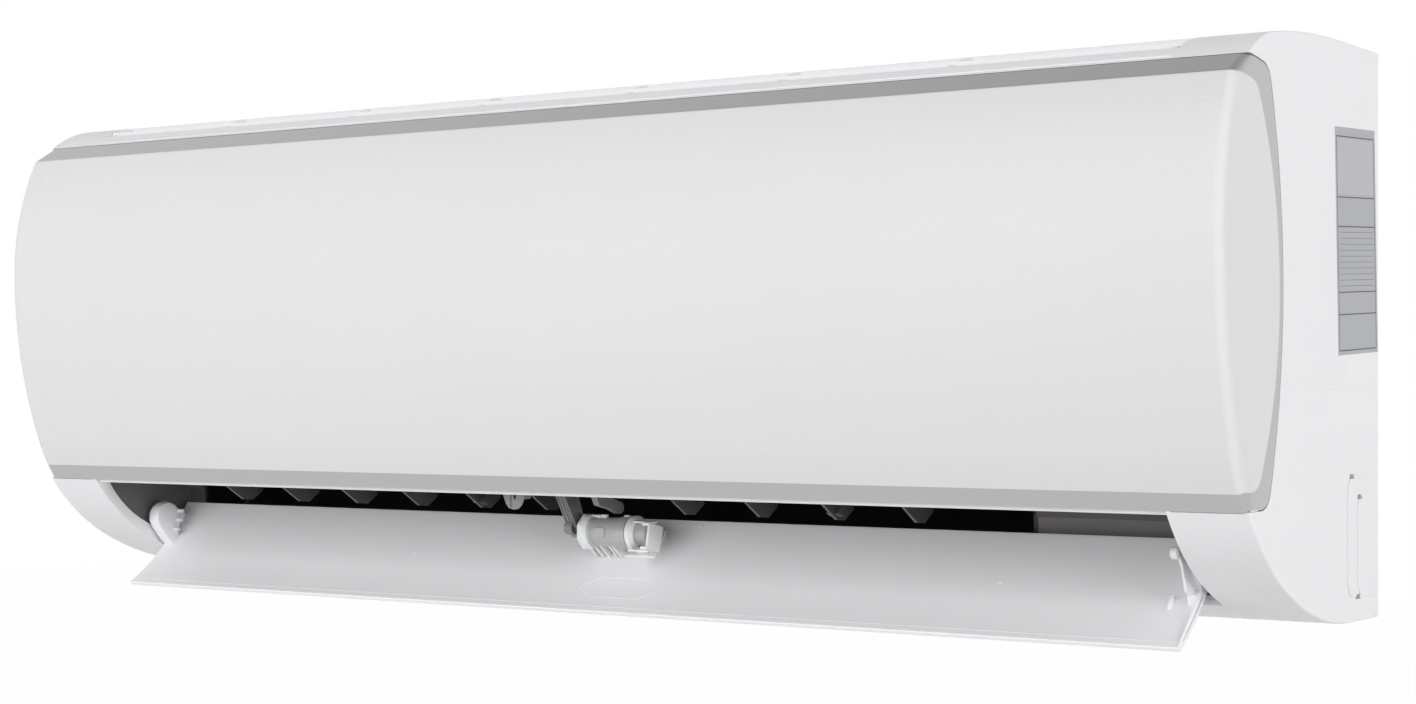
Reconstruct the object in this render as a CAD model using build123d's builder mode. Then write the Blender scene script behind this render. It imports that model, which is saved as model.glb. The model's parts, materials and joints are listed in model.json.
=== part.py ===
from build123d import *
import math
import os

# Mini split indoor unit. Millimetres. X runs along the unit, -Y is the room side, +Z is up.
# The origin is on the wall plane, at mid width and mid height.

# ---------------------------------------------------------------- overall sizes
WIDTH = 800.0
HEIGHT = 288.0
HALF_W = WIDTH / 2
HALF_H = HEIGHT / 2
SKIN = 2.5  # moulded wall thickness
GAP = 0.7  # shut line between the casing and the front panel

# ---------------------------------------------------------------- end profile, as (y, z)
TOP_FLAT_END = (-60.0, HALF_H)
TOP_BEND = (-142.5, 138.0)
TRIM_TOP_OUTER = (-173.0, 124.8)
TRIM_TOP_INNER = (-188.5, 115.5)
PANEL_CROWN = (-205.3, 44.0)
PANEL_LOW = (-186.0, -60.0)
TRIM_LOW_INNER = (-178.8, -75.4)
TRIM_LOW_OUTER = (-173.0, -84.5)
CHIN_MID = (-131.8, -120.3)
CHIN_BACK = (-96.8, -135.1)
CHIN_FLAT = (-38.0, -HALF_H)

# the end boundaries of the silver band: casing side and panel side, each a long arc
CASING_ARC_R = 297.0
CASING_ARC_CENTRE = (-429.0, 20.5)
PANEL_ARC_R = 171.4
PANEL_ARC_CENTRE = (-307.9, 18.0)
END_CORNER_R = 12.0
CHIN_INWARD = (1.28, 0.95)  # first step of the lower boundary, square to the chin's surface
PANEL_EDGE_R = 5.0

# ---------------------------------------------------------------- coil, fan and air path
FAN_AXIS = (-86.0, -34.0)
FAN_R = 48.0
FAN_X = (-336.0, 240.0)
BLADES = 35
COIL_X = (-335.0, 235.0)
COIL_T = 26.0
TUBE_R = 3.5
TUBE_PITCH = 20.0
ROW_OFFSET = 6.5
DUCT_X = (-348.0, 252.5)  # outer faces of the fan housing's end plates
OUTLET_X = 359.0  # half width of the outlet between the chin caps
DUCT_WALL_X = 362.0
FILTER_CENTRE = (-60.0, 0.0)
FILTER_R = (124.5, 127.5)
FRAME_R = (128.2, 130.2)
FILTER_ARC = (-18.0, 95.0)  # degrees above the horizontal through FILTER_CENTRE
ROOF_FRONT = (-167.0, -82.0)
ROOF_BACK = (-141.0, -60.0)

# ---------------------------------------------------------------- flap and vanes
FLAP_AXIS = (-121.0, -108.0)
FLAP_OPEN = 80.1  # degrees from shut to the pose modelled here
FLAP_X = 355.0
FLAP_T = 2.4
VANE_PITCH = 48.4
VANE_FIRST_X = -289.0
VANE_SKIPPED = 6  # the middle bracket stands in this place
VANE_T = 1.6
PIVOT_R = 3.0
RUN = 0.06  # radial running clearance

# ---------------------------------------------------------------- front panel hinge
HINGE = (-174.0, 115.5)
HINGE_PIN_R = 2.2
EAR_X = (389.6, 393.6)

os.makedirs("parts", exist_ok=True)


# ---------------------------------------------------------------- small helpers
def save(part, name):
    """Label a finished piece and write its file."""
    part.label = name
    export_step(part, f"parts/{name}.step")


def block(x, y, z, mode=Mode.ADD):
    """Box between three (low, high) ranges."""
    centre = ((x[0] + x[1]) / 2, (y[0] + y[1]) / 2, (z[0] + z[1]) / 2)
    with Locations(centre):
        Box(x[1] - x[0], y[1] - y[0], z[1] - z[0], mode=mode)


def rod_x(x, centre, radius, mode=Mode.ADD):
    """Cylinder along X between x[0] and x[1], about the (y, z) centre."""
    with Locations(Location(((x[0] + x[1]) / 2, centre[0], centre[1]), (0, 90, 0))):
        Cylinder(radius, x[1] - x[0], mode=mode)


def rod_y(y, centre, radius, mode=Mode.ADD):
    """Cylinder along Y between y[0] and y[1], about the (x, z) centre."""
    with Locations(Location((centre[0], (y[0] + y[1]) / 2, centre[1]), (90, 0, 0))):
        Cylinder(radius, y[1] - y[0], mode=mode)


def polar(centre, radius, degrees):
    """Point on a circle, with the angle rising from the room side (-Y) towards +Z."""
    angle = math.radians(degrees)
    return (centre[0] - radius * math.cos(angle), centre[1] + radius * math.sin(angle))


def arc_band(x, centre, radii, angles):
    """Sector of a ring on the YZ plane at x."""
    with BuildSketch(Plane.YZ.offset(x)) as band:
        with BuildLine():
            CenterArc(centre, radii[1], 180 - angles[1], angles[1] - angles[0])
            CenterArc(centre, radii[0], 180 - angles[1], angles[1] - angles[0])
            Line(polar(centre, radii[0], angles[0]), polar(centre, radii[1], angles[0]))
            Line(polar(centre, radii[0], angles[1]), polar(centre, radii[1], angles[1]))
        make_face()
    return band.sketch


def outline(x, *points):
    """Polygon through (y, z) points on the YZ plane at x."""
    with BuildSketch(Plane.YZ.offset(x)) as shape:
        with BuildLine():
            Polyline(*points, close=True)
        make_face()
    return shape.sketch


def sheet(x, width, radius, *points):
    """Bent sheet section through (y, z) points on the YZ plane at x."""
    with BuildSketch(Plane.YZ.offset(x)) as section:
        with BuildLine():
            if radius:
                FilletPolyline(*points, radius=radius)
            else:
                Polyline(*points)
        trace(line_width=width)
    return section.sketch


def casing_outline(plane):
    """End profile of the casing on a plane whose axes stand for (y, z), closed straight across its front."""
    with BuildSketch(plane) as shape:
        with BuildLine():
            Line((0, HALF_H), TOP_FLAT_END)
            crown = TangentArc(TOP_FLAT_END, TOP_BEND, tangent=(-1, 0))
            TangentArc(TOP_BEND, TRIM_TOP_OUTER, tangent=crown % 1)
            Line(TRIM_TOP_OUTER, TRIM_LOW_OUTER)
            Line((0, -HALF_H), CHIN_FLAT)
            low = TangentArc(CHIN_FLAT, CHIN_BACK, tangent=(-1, 0))
            chin = TangentArc(CHIN_BACK, CHIN_MID, tangent=low % 1)
            TangentArc(CHIN_MID, TRIM_LOW_OUTER, tangent=chin % 1)
            Line((0, -HALF_H), (0, HALF_H))
        make_face()
    return shape.sketch


def arc_y(centre, radius, z):
    """Y of the back-bowed end boundary arc at height z."""
    return centre[0] + math.sqrt(radius**2 - (z - centre[1]) ** 2)


def front_region(x, top, low, centre, radius, corner_z, gap):
    """Everything in front of an end boundary: level runs from top and low, joined by a long arc."""
    upper = (arc_y(centre, radius, corner_z[0]) - gap, corner_z[0] - gap)
    lower = (arc_y(centre, radius, corner_z[1]) - gap, corner_z[1] + gap)
    step = (low[0] + CHIN_INWARD[0], low[1] + CHIN_INWARD[1] + gap)
    with BuildSketch(Plane.YZ.offset(x)) as region:
        with BuildLine():
            ThreePointArc(upper, (centre[0] + radius - gap, centre[1]), lower)
            Polyline(
                upper, (top[0], top[1] - gap), (-230, 160), (-230, -120), (low[0], low[1] + gap), step, lower
            )
        make_face()
        corners = region.vertices().sort_by(Axis.X)[-2:]
        fillet(corners, END_CORNER_R)
    return region.sketch


def casing_front(x, gap=0.0):
    """Region in front of the casing's rim."""
    return front_region(
        x, TRIM_TOP_OUTER, TRIM_LOW_OUTER, CASING_ARC_CENTRE, CASING_ARC_R, (121.6, -83.5), gap
    )


def panel_front(x):
    """Region in front of the silver band."""
    return front_region(
        x, TRIM_TOP_INNER, TRIM_LOW_INNER, PANEL_ARC_CENTRE, PANEL_ARC_R, (112.5, -74.5), 0.0
    )


def pillow(inset):
    """The solid pillow of the front panel and its band, inset on all sides."""
    with BuildPart() as body:
        with BuildSketch(Plane.YZ.offset(-HALF_W + inset)) as section:
            with BuildLine():
                back = [(-150, 138.6), (-120, 138.6), (-120, -104.9), (-160, -104.9)]
                Polyline(TRIM_TOP_INNER, *back, TRIM_LOW_INNER)
                TangentArc(PANEL_CROWN, TRIM_TOP_INNER, tangent=(0, 1))
                belly = TangentArc(PANEL_CROWN, PANEL_LOW, tangent=(0, -1))
                TangentArc(PANEL_LOW, TRIM_LOW_INNER, tangent=belly % 1)
            make_face()
            creases = [v for v in section.vertices() if v.X < -175 and (v.Y > 100 or v.Y < -70)]
            fillet(creases, 3.0)
            if inset:
                offset(amount=-inset)
        extrude(amount=WIDTH - 2 * inset)
        ends = body.edges().filter_by(Axis.X, reverse=True)
        front_edges = [edge for edge in ends if edge.center().Y < -152]
        fillet(front_edges, PANEL_EDGE_R - inset)
    return body.part


def u_bend(x, first, second, tube_r, direction):
    """Half-circle tube joining two tube ends at x, bulging along X."""
    first_point = Vector(x, first[0], first[1])
    second_point = Vector(x, second[0], second[1])
    middle = (first_point + second_point) / 2
    across = (second_point - first_point).normalized()
    bulge = Vector(direction, 0, 0)
    with BuildPart() as bend:
        with BuildSketch(Plane(origin=middle, x_dir=across, z_dir=bulge)):
            with Locations(((second_point - first_point).length / 2, 0)):
                Circle(tube_r)
        revolve(axis=Axis(middle, across.cross(bulge)), revolution_arc=180)
    return bend.part


def tube(points, tube_r, bend_r):
    """Round tube swept along a polyline with rounded corners."""
    with BuildPart() as pipe:
        with BuildLine() as path:
            if bend_r:
                FilletPolyline(*points, radius=bend_r)
            else:
                Polyline(*points)
        with BuildSketch(Plane(origin=path.line @ 0, z_dir=path.line % 0)):
            Circle(tube_r)
        sweep()
    return pipe.part


# ================================================================ wall plate
HOOK_X = 200.0
WALL_HOLE_X = 225.0
WALL_HOLE_Z = (-20.0, 100.0)
WALL_HOLE_R = 2.6
PLATE_T = 1.2
PLATE_Z = (-58.0, 128.0)

with BuildPart() as wall_plate:
    block((-300, 300), (-PLATE_T, 0), PLATE_Z)
    fillet(wall_plate.edges().filter_by(Axis.Y), 8)
    for side in (-1, 1):
        # top hook: forward, then up behind the chassis
        block((side * HOOK_X - 14, side * HOOK_X + 14), (-9.0, 0), (126.5, 128.0))
        block((side * HOOK_X - 14, side * HOOK_X + 14), (-9.0, -7.6), (126.5, 135.0))
        # bottom catch
        block((side * HOOK_X - 10, side * HOOK_X + 10), (-8.0, 0), (-58.0, -56.6))
        # stiffening swage along the plate
        block((side * 150 - 110, side * 150 + 110), (-2.6, 0), (60, 66))
        block((side * 150 - 110, side * 150 + 110), (-2.6, 0), (8, 14))
    for x in (-WALL_HOLE_X, WALL_HOLE_X):
        for z in WALL_HOLE_Z:
            rod_y((-5, 1), (x, z), WALL_HOLE_R, Mode.SUBTRACT)
save(wall_plate.part, "wall_plate")

# ================================================================ rear chassis
BACK_Y = (-5.5, -3.0)
SHELF_Z = -62.0
HOUSING_EDGE = [(-4, -62), (-27, -62), (-36, -86), (-70, -113.5), (-88, -121)]
END_PLATE = [(-4, 30), (-110, 30), (-133, 0), (-133, -60), (-100, -82), (-90, -92), (-88, -121)]
BUSH_BOSS_R = (17.0, 21.0)
SEAT_R = (44.0, 46.5)
SEAT_X = (250.0, 336.0)

with BuildPart() as rear_chassis:
    block((-397.2, 397.2), BACK_Y, (SHELF_Z, 139.0))
    # scroll behind the fan, from the front lip of the rear tray to the outlet floor
    with BuildSketch(Plane.YZ.offset(DUCT_X[0])) as scroll:
        with BuildLine():
            Polyline((-48, 32), (-48, 22), (-42, 2))
            ThreePointArc((-42, 2), (-26, -38), (-37, -86))
            ThreePointArc((-37, -86), (-58, -110), (-88, -121))
        trace(line_width=SKIN)
    extrude(amount=DUCT_X[1] - DUCT_X[0])
    # rear drip tray and the shelf over the pipe channel
    block(DUCT_X, (-48, -4), (20.7, 23.2))
    block(DUCT_X, (-30, -4), (SHELF_Z - 1.25, SHELF_Z + 1.25))
    # end plates of the fan housing
    for x in (DUCT_X[0], DUCT_X[1] - SKIN):
        extrude(outline(x, *END_PLATE, *HOUSING_EDGE[::-1][1:]), amount=SKIN)
    # bearing boss on the left end plate
    rod_x((DUCT_X[0] - 8, DUCT_X[0] + SKIN), FAN_AXIS, BUSH_BOSS_R[1])
    # motor seat: lower half shell with two flanges
    with BuildSketch(Plane.YZ.offset(SEAT_X[0])) as seat:
        with Locations(FAN_AXIS):
            Circle(SEAT_R[1])
            Circle(SEAT_R[0], mode=Mode.SUBTRACT)
        with Locations((FAN_AXIS[0], FAN_AXIS[1] + 50)):
            Rectangle(120, 100, mode=Mode.SUBTRACT)
        for side in (-1, 1):
            with Locations((FAN_AXIS[0] + side * (SEAT_R[0] + 5), FAN_AXIS[1] - 1.25)):
                Rectangle(10, SKIN)
    extrude(amount=SEAT_X[1] - SEAT_X[0])
    # seat brackets down to the back wall
    for x in (SEAT_X[0] + 8, SEAT_X[1] - 10):
        block((x, x + 3), (-36, -4), (FAN_AXIS[1] - 2.5, FAN_AXIS[1]))
    # holes: bearing, motor shaft, wall hooks and catches
    rod_x((DUCT_X[0] - 20, DUCT_X[0] + 10), FAN_AXIS, BUSH_BOSS_R[0], Mode.SUBTRACT)
    rod_x((DUCT_X[1] - 10, DUCT_X[1] + 2), FAN_AXIS, 12, Mode.SUBTRACT)
    for side in (-1, 1):
        block((side * HOOK_X - 17, side * HOOK_X + 17), (-7, 0), (125.5, 136.5), Mode.SUBTRACT)
        block((side * HOOK_X - 12, side * HOOK_X + 12), (-7, 0), (-60, -54), Mode.SUBTRACT)
save(rear_chassis.part, "rear_chassis")

# ================================================================ front casing
FRAME_X = 396.0
BEAM_Y = (-169.8, -163.0)
BEAM_Z = (-85.9, -82.4)
GRILLE_X = 361.0
GRILLE_Y = (-164.0, -14.0)
OUTLET_BACK_Y = -104.0
LIP_EDGE = (
    (-162.8, -84.0), (-156.3, -93.5), (-149.3, -100.6), (-142.4, -106.1), (-129.0, -113.6), (-106.0, -127.0)
)
WINDOW_BARS = 3
FILTER_X = ((-352.0, -53.0), (-47.0, 252.0))
DISPLAY_X = (288.0, 374.0)
DISPLAY_Z = (4.0, 36.0)
SCREW_X = (-300.0, -50.0, 300.0)
SCREW_Z = -64.0

with BuildPart() as front_casing:
    extrude(casing_outline(Plane.YZ.offset(-HALF_W)), amount=WIDTH)
    rim = front_casing.edges().filter_by(Axis.X, reverse=True)
    fillet([edge for edge in rim if edge.center().Y < -1 and abs(edge.center().Z) > 90], 1.2)
    # hollow, open to the wall
    with BuildSketch(Plane.YZ.offset(-HALF_W + SKIN)) as hollow:
        add(casing_outline(Plane.XY))
        offset(amount=-SKIN)
        with Locations((-10, 0)):
            Rectangle(30, HEIGHT - 2 * SKIN)
    extrude(amount=WIDTH - 2 * SKIN, mode=Mode.SUBTRACT)
    extrude(casing_front(-HALF_W - 1), amount=WIDTH + 2, mode=Mode.SUBTRACT)
    # top inlet and outlet openings
    block((-GRILLE_X - 1, GRILLE_X + 1), GRILLE_Y, (118, 150), Mode.SUBTRACT)
    block((-OUTLET_X, OUTLET_X), (-175, OUTLET_BACK_Y), (-140, -80), Mode.SUBTRACT)
    # beam under the front panel, and the web up to the filter frame
    block((-FRAME_X, FRAME_X), BEAM_Y, BEAM_Z)
    web = sheet(-FRAME_X, 2.0, 0, (-178.1, -51.0), (-169.0, -75.0), (-169.0, -84.0))
    extrude(web, amount=2 * FRAME_X)
    # curved frame over the filters, and the plate up to the top lip
    extrude(arc_band(-FRAME_X, FILTER_CENTRE, FRAME_R, (-24.0, 50.0)), amount=2 * FRAME_X)
    brow = sheet(-FRAME_X, 2.0, 0, (-143.2, 98.5), (-162.4, 129.0))
    extrude(brow, amount=2 * FRAME_X)
    # inner cheeks that carry the frame from the end walls
    cheek_points = [polar(FILTER_CENTRE, FRAME_R[1] - 1, a) for a in range(-24, 51, 6)]
    for x in (-FRAME_X, FRAME_X - SKIN):
        cheek = outline(x, *cheek_points, (-163, 127), (-120, 100), (-120, -70), (-168.5, -83))
        extrude(cheek, amount=SKIN)
    for x in (-HALF_W + SKIN, 395.5):
        strip = outline(x, (-140, 116), (-126, 112), (-118, 60), (-118, -40), (-128, -70), (-142, -76))
        extrude(strip, amount=2.0)
    extrude(casing_front(-HALF_W - 1), amount=SKIN + 1.0, mode=Mode.SUBTRACT)
    extrude(casing_front(HALF_W - SKIN), amount=SKIN + 1.0, mode=Mode.SUBTRACT)
    # filter windows, with upright bars between them
    for x_range in FILTER_X:
        step = (x_range[1] - x_range[0] - 8) / WINDOW_BARS
        for index in range(WINDOW_BARS):
            start = x_range[0] + 4 + index * step + 3
            block((start, start + step - 6), (-200, -120), (-34, 84), Mode.SUBTRACT)
    block(DISPLAY_X, (-200, -170), DISPLAY_Z, Mode.SUBTRACT)
    # lips at the two ends of the outlet
    for x in (-OUTLET_X - SKIN, OUTLET_X):
        with BuildSketch(Plane.YZ.offset(x)) as lip:
            add(casing_outline(Plane.XY))
            with BuildLine():
                Spline(*LIP_EDGE)
                Polyline(LIP_EDGE[-1], (5, -127), (5, 160), (-230, 160), (-230, -84), LIP_EDGE[0])
            make_face(mode=Mode.SUBTRACT)
            with Locations((OUTLET_BACK_Y + 60, -135)):
                Rectangle(120, 40, mode=Mode.SUBTRACT)
        extrude(amount=SKIN)
    for x in SCREW_X:
        block((x - 5, x + 5), (-175.6, -172), (SCREW_Z - 5, SCREW_Z + 4.5))
        rod_y((-180, -165), (x, SCREW_Z), 2.0, Mode.SUBTRACT)
    # hinge ears for the front panel
    for side in (-1, 1):
        inner = min(side * EAR_X[0], side * EAR_X[1])
        with BuildSketch(Plane.YZ.offset(inner)):
            with Locations(HINGE):
                Circle(4.2)
            with Locations((-147, 110)):
                Circle(5)
            make_hull()
        extrude(amount=EAR_X[1] - EAR_X[0])
        rod_x(sorted((side * (EAR_X[0] - 1), side * (EAR_X[1] + 1))), HINGE, HINGE_PIN_R + RUN, Mode.SUBTRACT)
    # knock-out score lines and corner slots for the pipes, on the right end
    with BuildSketch(Plane.YZ.offset(HALF_W - 0.5)):
        for corner, top, low in ((-45, -70, -132), (-31, -80.5, -132)):
            with BuildLine():
                FilletPolyline((1, top), (corner, top), (corner, low), (corner + 14, low), radius=9)
            trace(line_width=0.9)
        with Locations((-15, -132)):
            Rectangle(30, 0.9)
    extrude(amount=2, mode=Mode.SUBTRACT)
    for y, z in ((-39, -71.2), (-27.5, -81.6), (-29, -131.5)):
        block((HALF_W - 4, HALF_W + 1), (y - 3.2, y + 3.2), (z - 1.2, z + 1.2), Mode.SUBTRACT)
save(front_casing.part, "front_casing")

# ================================================================ inlet grille
SLATS = 20
SLAT_PITCH = 7.05
SLAT_T = 1.8
SLAT_DEPTH = 7.5
SLAT_LEAN = 35.0  # degrees that each slat leans back from square to the surface
RIB_X = [-358.0, -259.0, -158.0, -60.0, 42.0, 139.0, 239.0, 358.0]

with BuildLine() as top_curve:
    Line((-14, HALF_H), TOP_FLAT_END)
    top_crown = TangentArc(TOP_FLAT_END, TOP_BEND, tangent=(-1, 0))
    TangentArc(TOP_BEND, TRIM_TOP_OUTER, tangent=top_crown % 1)
top_wire = top_curve.wires()[0]


def grille_point(distance):
    """Point and tangent angle on the top profile, measured along it from the grille's back edge."""
    place = top_wire.location_at(distance / top_wire.length)
    heading = top_wire.tangent_at(distance / top_wire.length)
    return place.position, math.degrees(math.atan2(heading.Y, heading.X))


with BuildPart() as inlet_grille:
    with BuildSketch(Plane.YZ.offset(-GRILLE_X)) as slats:
        for index in range(SLATS + 1):
            point, angle = grille_point(1.6 + index * SLAT_PITCH)
            with Locations(Location((point.X, point.Y), angle - SLAT_LEAN)):
                with Locations((0, SLAT_DEPTH / 2 + 0.8)):
                    Rectangle(SLAT_T, SLAT_DEPTH)
    extrude(amount=2 * GRILLE_X)
    # cross ribs, a little below the slat edges
    for x in RIB_X:
        with BuildSketch(Plane.YZ.offset(x - 1.25)) as rib:
            with BuildLine():
                Line((-15, HALF_H - 1.2), (-60, HALF_H - 1.2))
                upper = TangentArc((-60, HALF_H - 1.2), (-142.2, 136.8), tangent=(-1, 0))
                TangentArc((-142.2, 136.8), (-161.9, 130.4), tangent=upper % 1)
                Line((-161.9, 130.4), (-158.2, 124.8))
                lower = TangentArc((-60, HALF_H - 7.6), (-140.8, 130.6), tangent=(-1, 0))
                TangentArc((-140.8, 130.6), (-158.2, 124.8), tangent=lower % 1)
                Line((-60, HALF_H - 7.6), (-15, HALF_H - 7.6))
                Line((-15, HALF_H - 7.6), (-15, HALF_H - 1.2))
            make_face()
        extrude(amount=2.5)
save(inlet_grille.part, "inlet_grille")

# ================================================================ front panel and silver band
HINGE_ARM_X = (384.0, 388.0)
ARM_ROOT = (-193.6, 101.0)

outer_pillow = pillow(0.0)
inner_pillow = pillow(SKIN)

with BuildPart() as panel_trim:
    add(outer_pillow)
    add(inner_pillow, mode=Mode.SUBTRACT)
    extrude(casing_front(-HALF_W - 1, GAP), amount=WIDTH + 2, mode=Mode.INTERSECT)
    extrude(panel_front(-HALF_W - 1), amount=WIDTH + 2, mode=Mode.SUBTRACT)
save(panel_trim.part, "panel_trim")

with BuildPart() as front_panel:
    add(outer_pillow)
    add(inner_pillow, mode=Mode.SUBTRACT)
    extrude(panel_front(-HALF_W - 1), amount=WIDTH + 2, mode=Mode.INTERSECT)
    for side in (-1, 1):
        inner = min(side * HINGE_ARM_X[0], side * HINGE_ARM_X[1])
        with BuildSketch(Plane.YZ.offset(inner)):
            with Locations(HINGE):
                Circle(3.4)
            with Locations(ARM_ROOT):
                Circle(1.3)
            make_hull()
        extrude(amount=HINGE_ARM_X[1] - HINGE_ARM_X[0])
        ends = sorted((side * (HINGE_ARM_X[0] + 1), side * (EAR_X[1] - 0.4)))
        rod_x(ends, HINGE, HINGE_PIN_R)
save(front_panel.part, "front_panel")

# ================================================================ air filters
FILTER_BARS_X = 3
FILTER_BARS_A = 4
FILTER_BORDER = 6.0
FILTER_BAR = 3.0


def filter_windows(x_range):
    """(x, x, angle, angle) of each window in a filter frame."""
    windows = []
    width = (x_range[1] - x_range[0] - 2 * FILTER_BORDER + FILTER_BAR) / FILTER_BARS_X
    span = (FILTER_ARC[1] - FILTER_ARC[0] - 5.0 + 1.4) / FILTER_BARS_A
    for column in range(FILTER_BARS_X):
        for row in range(FILTER_BARS_A):
            left = x_range[0] + FILTER_BORDER + column * width
            base = FILTER_ARC[0] + 2.5 + row * span
            windows.append((left, left + width - FILTER_BAR, base, base + span - 1.4))
    return windows


for name, x_range in (("left", FILTER_X[0]), ("right", FILTER_X[1])):
    windows = filter_windows(x_range)
    with BuildPart() as filter_frame:
        extrude(arc_band(x_range[0], FILTER_CENTRE, FILTER_R, FILTER_ARC), amount=x_range[1] - x_range[0])
        for low_x, high_x, low_a, high_a in windows:
            window = arc_band(low_x, FILTER_CENTRE, (FILTER_R[0] - 1, FILTER_R[1] + 1), (low_a, high_a))
            extrude(window, amount=high_x - low_x, mode=Mode.SUBTRACT)
        # finger tabs at the bottom edge
        for share in (0.25, 0.75):
            tab_x = x_range[0] + share * (x_range[1] - x_range[0])
            tab = arc_band(tab_x - 16, FILTER_CENTRE, (FILTER_R[0] + 0.5, FILTER_R[1] - 0.5), (-22.0, -17.5))
            extrude(tab, amount=32)
    save(filter_frame.part, f"filter_frame_{name}")
    with BuildPart() as filter_mesh:
        for low_x, high_x, low_a, high_a in windows:
            net = arc_band(low_x, FILTER_CENTRE, (FILTER_R[0] + 1.2, FILTER_R[0] + 1.7), (low_a, high_a))
            extrude(net, amount=high_x - low_x)
    save(filter_mesh.part, f"filter_mesh_{name}")

# ================================================================ evaporator coil
# each slab: lower end of its centre line, slope up the slab in degrees, length, first tube distance
SLABS = {
    "front_lower": ((-157.0, -52.0), 90.0, 82.0, 11.0),
    "front_upper": ((-156.0, 40.0), 50.9, 76.0, 8.0),
    "rear": ((-33.0, 40.0), 127.2, 82.0, 11.0),
}


def slab_up(slab):
    """Unit (y, z) direction up a slab."""
    angle = math.radians(slab[1])
    return (math.cos(angle), math.sin(angle))


def slab_plane(slab, x):
    """Plane at x with its local x up the slab and its local y across it."""
    foot, up = slab[0], slab_up(slab)
    return Plane(origin=(x, foot[0], foot[1]), x_dir=(0, up[0], up[1]), z_dir=(1, 0, 0))


def slab_tube(slab, row, index):
    """(y, z) of a tube: row is -1 or 1, index counts up the slab."""
    foot, up, first = slab[0], slab_up(slab), slab[3]
    along = first + index * TUBE_PITCH
    across = row * ROW_OFFSET
    return (foot[0] + along * up[0] - across * up[1], foot[1] + along * up[1] + across * up[0])


for name, slab in SLABS.items():
    with BuildPart() as fins:
        with BuildSketch(slab_plane(slab, COIL_X[0])):
            with Locations((slab[2] / 2, 0)):
                Rectangle(slab[2], COIL_T)
            for index in range(4):
                for row in (-1, 1):
                    with Locations((slab[3] + index * TUBE_PITCH, row * ROW_OFFSET)):
                        Circle(TUBE_R, mode=Mode.SUBTRACT)
        extrude(amount=COIL_X[1] - COIL_X[0])
    save(fins.part, f"fins_{name}")

COIL_PLATE_T = 1.5
HAIRPIN_X = (-344.0, 243.0)

with BuildPart() as coil_plates:
    for x in (COIL_X[0] - COIL_PLATE_T, COIL_X[1]):
        for slab in SLABS.values():
            with BuildSketch(slab_plane(slab, x)):
                with Locations((slab[2] / 2, 0)):
                    RectangleRounded(slab[2], COIL_T + 2, 3)
            extrude(amount=COIL_PLATE_T)
        rod_x((x, x + COIL_PLATE_T), (-157, 34), 13)
        rod_x((x, x + COIL_PLATE_T), (-95, 98), 14)
        for slab in SLABS.values():
            for index in range(4):
                for row in (-1, 1):
                    rod_x((x - 1, x + 3), slab_tube(slab, row, index), TUBE_R, Mode.SUBTRACT)
save(coil_plates.part, "coil_plates")

with BuildPart() as coil_hairpins:
    for slab in SLABS.values():
        for row in (-1, 1):
            for pair in ((0, 1), (2, 3)):
                ends = [slab_tube(slab, row, index) for index in pair]
                for end in ends:
                    rod_x(HAIRPIN_X, end, TUBE_R)
                add(u_bend(HAIRPIN_X[0], ends[0], ends[1], TUBE_R, -1))
save(coil_hairpins.part, "coil_hairpins")

with BuildPart() as return_bends:
    for slab in SLABS.values():
        for row in (-1, 1):
            add(u_bend(HAIRPIN_X[1], slab_tube(slab, row, 1), slab_tube(slab, row, 2), TUBE_R, 1))
    # jumpers from slab to slab, over the joints
    for low, high in (("front_lower", "front_upper"), ("rear", "front_upper")):
        for row in (-1, 1):
            other = row if low == "front_lower" else -row
            index = 0 if low == "front_lower" else 3
            jumper_end = slab_tube(SLABS[high], other, index)
            add(u_bend(HAIRPIN_X[1], slab_tube(SLABS[low], row, 3), jumper_end, TUBE_R, 1))
save(return_bends.part, "return_bends")

# ================================================================ refrigerant pipes
GAS_R = 4.76
LIQUID_R = 3.18
GAS_END = (-60.0, -17.0, -84.0)
LIQUID_END = (-120.0, -17.0, -102.0)

gas_start = slab_tube(SLABS["rear"], -1, 0)
liquid_start = slab_tube(SLABS["rear"], 1, 0)
gas_pipe = tube(
    [(HAIRPIN_X[1], *gas_start), (270, *gas_start), (270, -17, 28), (270, -17, -84), GAS_END], GAS_R, 10
)
save(gas_pipe, "gas_pipe")
liquid_pipe = tube(
    [(HAIRPIN_X[1], *liquid_start), (284, *liquid_start), (284, -17, 14), (284, -17, -102), LIQUID_END],
    LIQUID_R,
    9,
)
save(liquid_pipe, "liquid_pipe")

with BuildPart() as flare_nuts:
    for end, radius, flats in ((GAS_END, GAS_R, 22.0), (LIQUID_END, LIQUID_R, 17.0)):
        with BuildSketch(Plane.YZ.offset(end[0] + 1)):
            with Locations((end[1], end[2])):
                RegularPolygon(flats / 2, 6, major_radius=False)
                Circle(radius, mode=Mode.SUBTRACT)
        extrude(amount=flats)
    chamfer(flare_nuts.edges().filter_by(GeomType.LINE).filter_by(Axis.X, reverse=True), 0.8)
save(flare_nuts.part, "flare_nuts")

with BuildPart() as pipe_clamp:
    block((150, 190), (-24, -5), (-66, -63.25))
    block((150, 190), (-7, -5), (-112, -63.25))
    for x in (158, 182):
        with Locations(Location((x, -16, -66))):
            Hole(1.6, 6)
    for z, radius in ((-84, GAS_R), (-102, LIQUID_R)):
        block((150, 190), (-17 + radius, -6), (z - radius - 1.5, z - radius))
        block((150, 190), (-17 + radius, -6), (z + radius, z + radius + 1.5))
save(pipe_clamp.part, "pipe_clamp")

# ================================================================ fan, bearing and motor
SHAFT_R = 4.0
MOTOR_R = 38.0
MOTOR_X = (262.0, 326.0)

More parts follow.
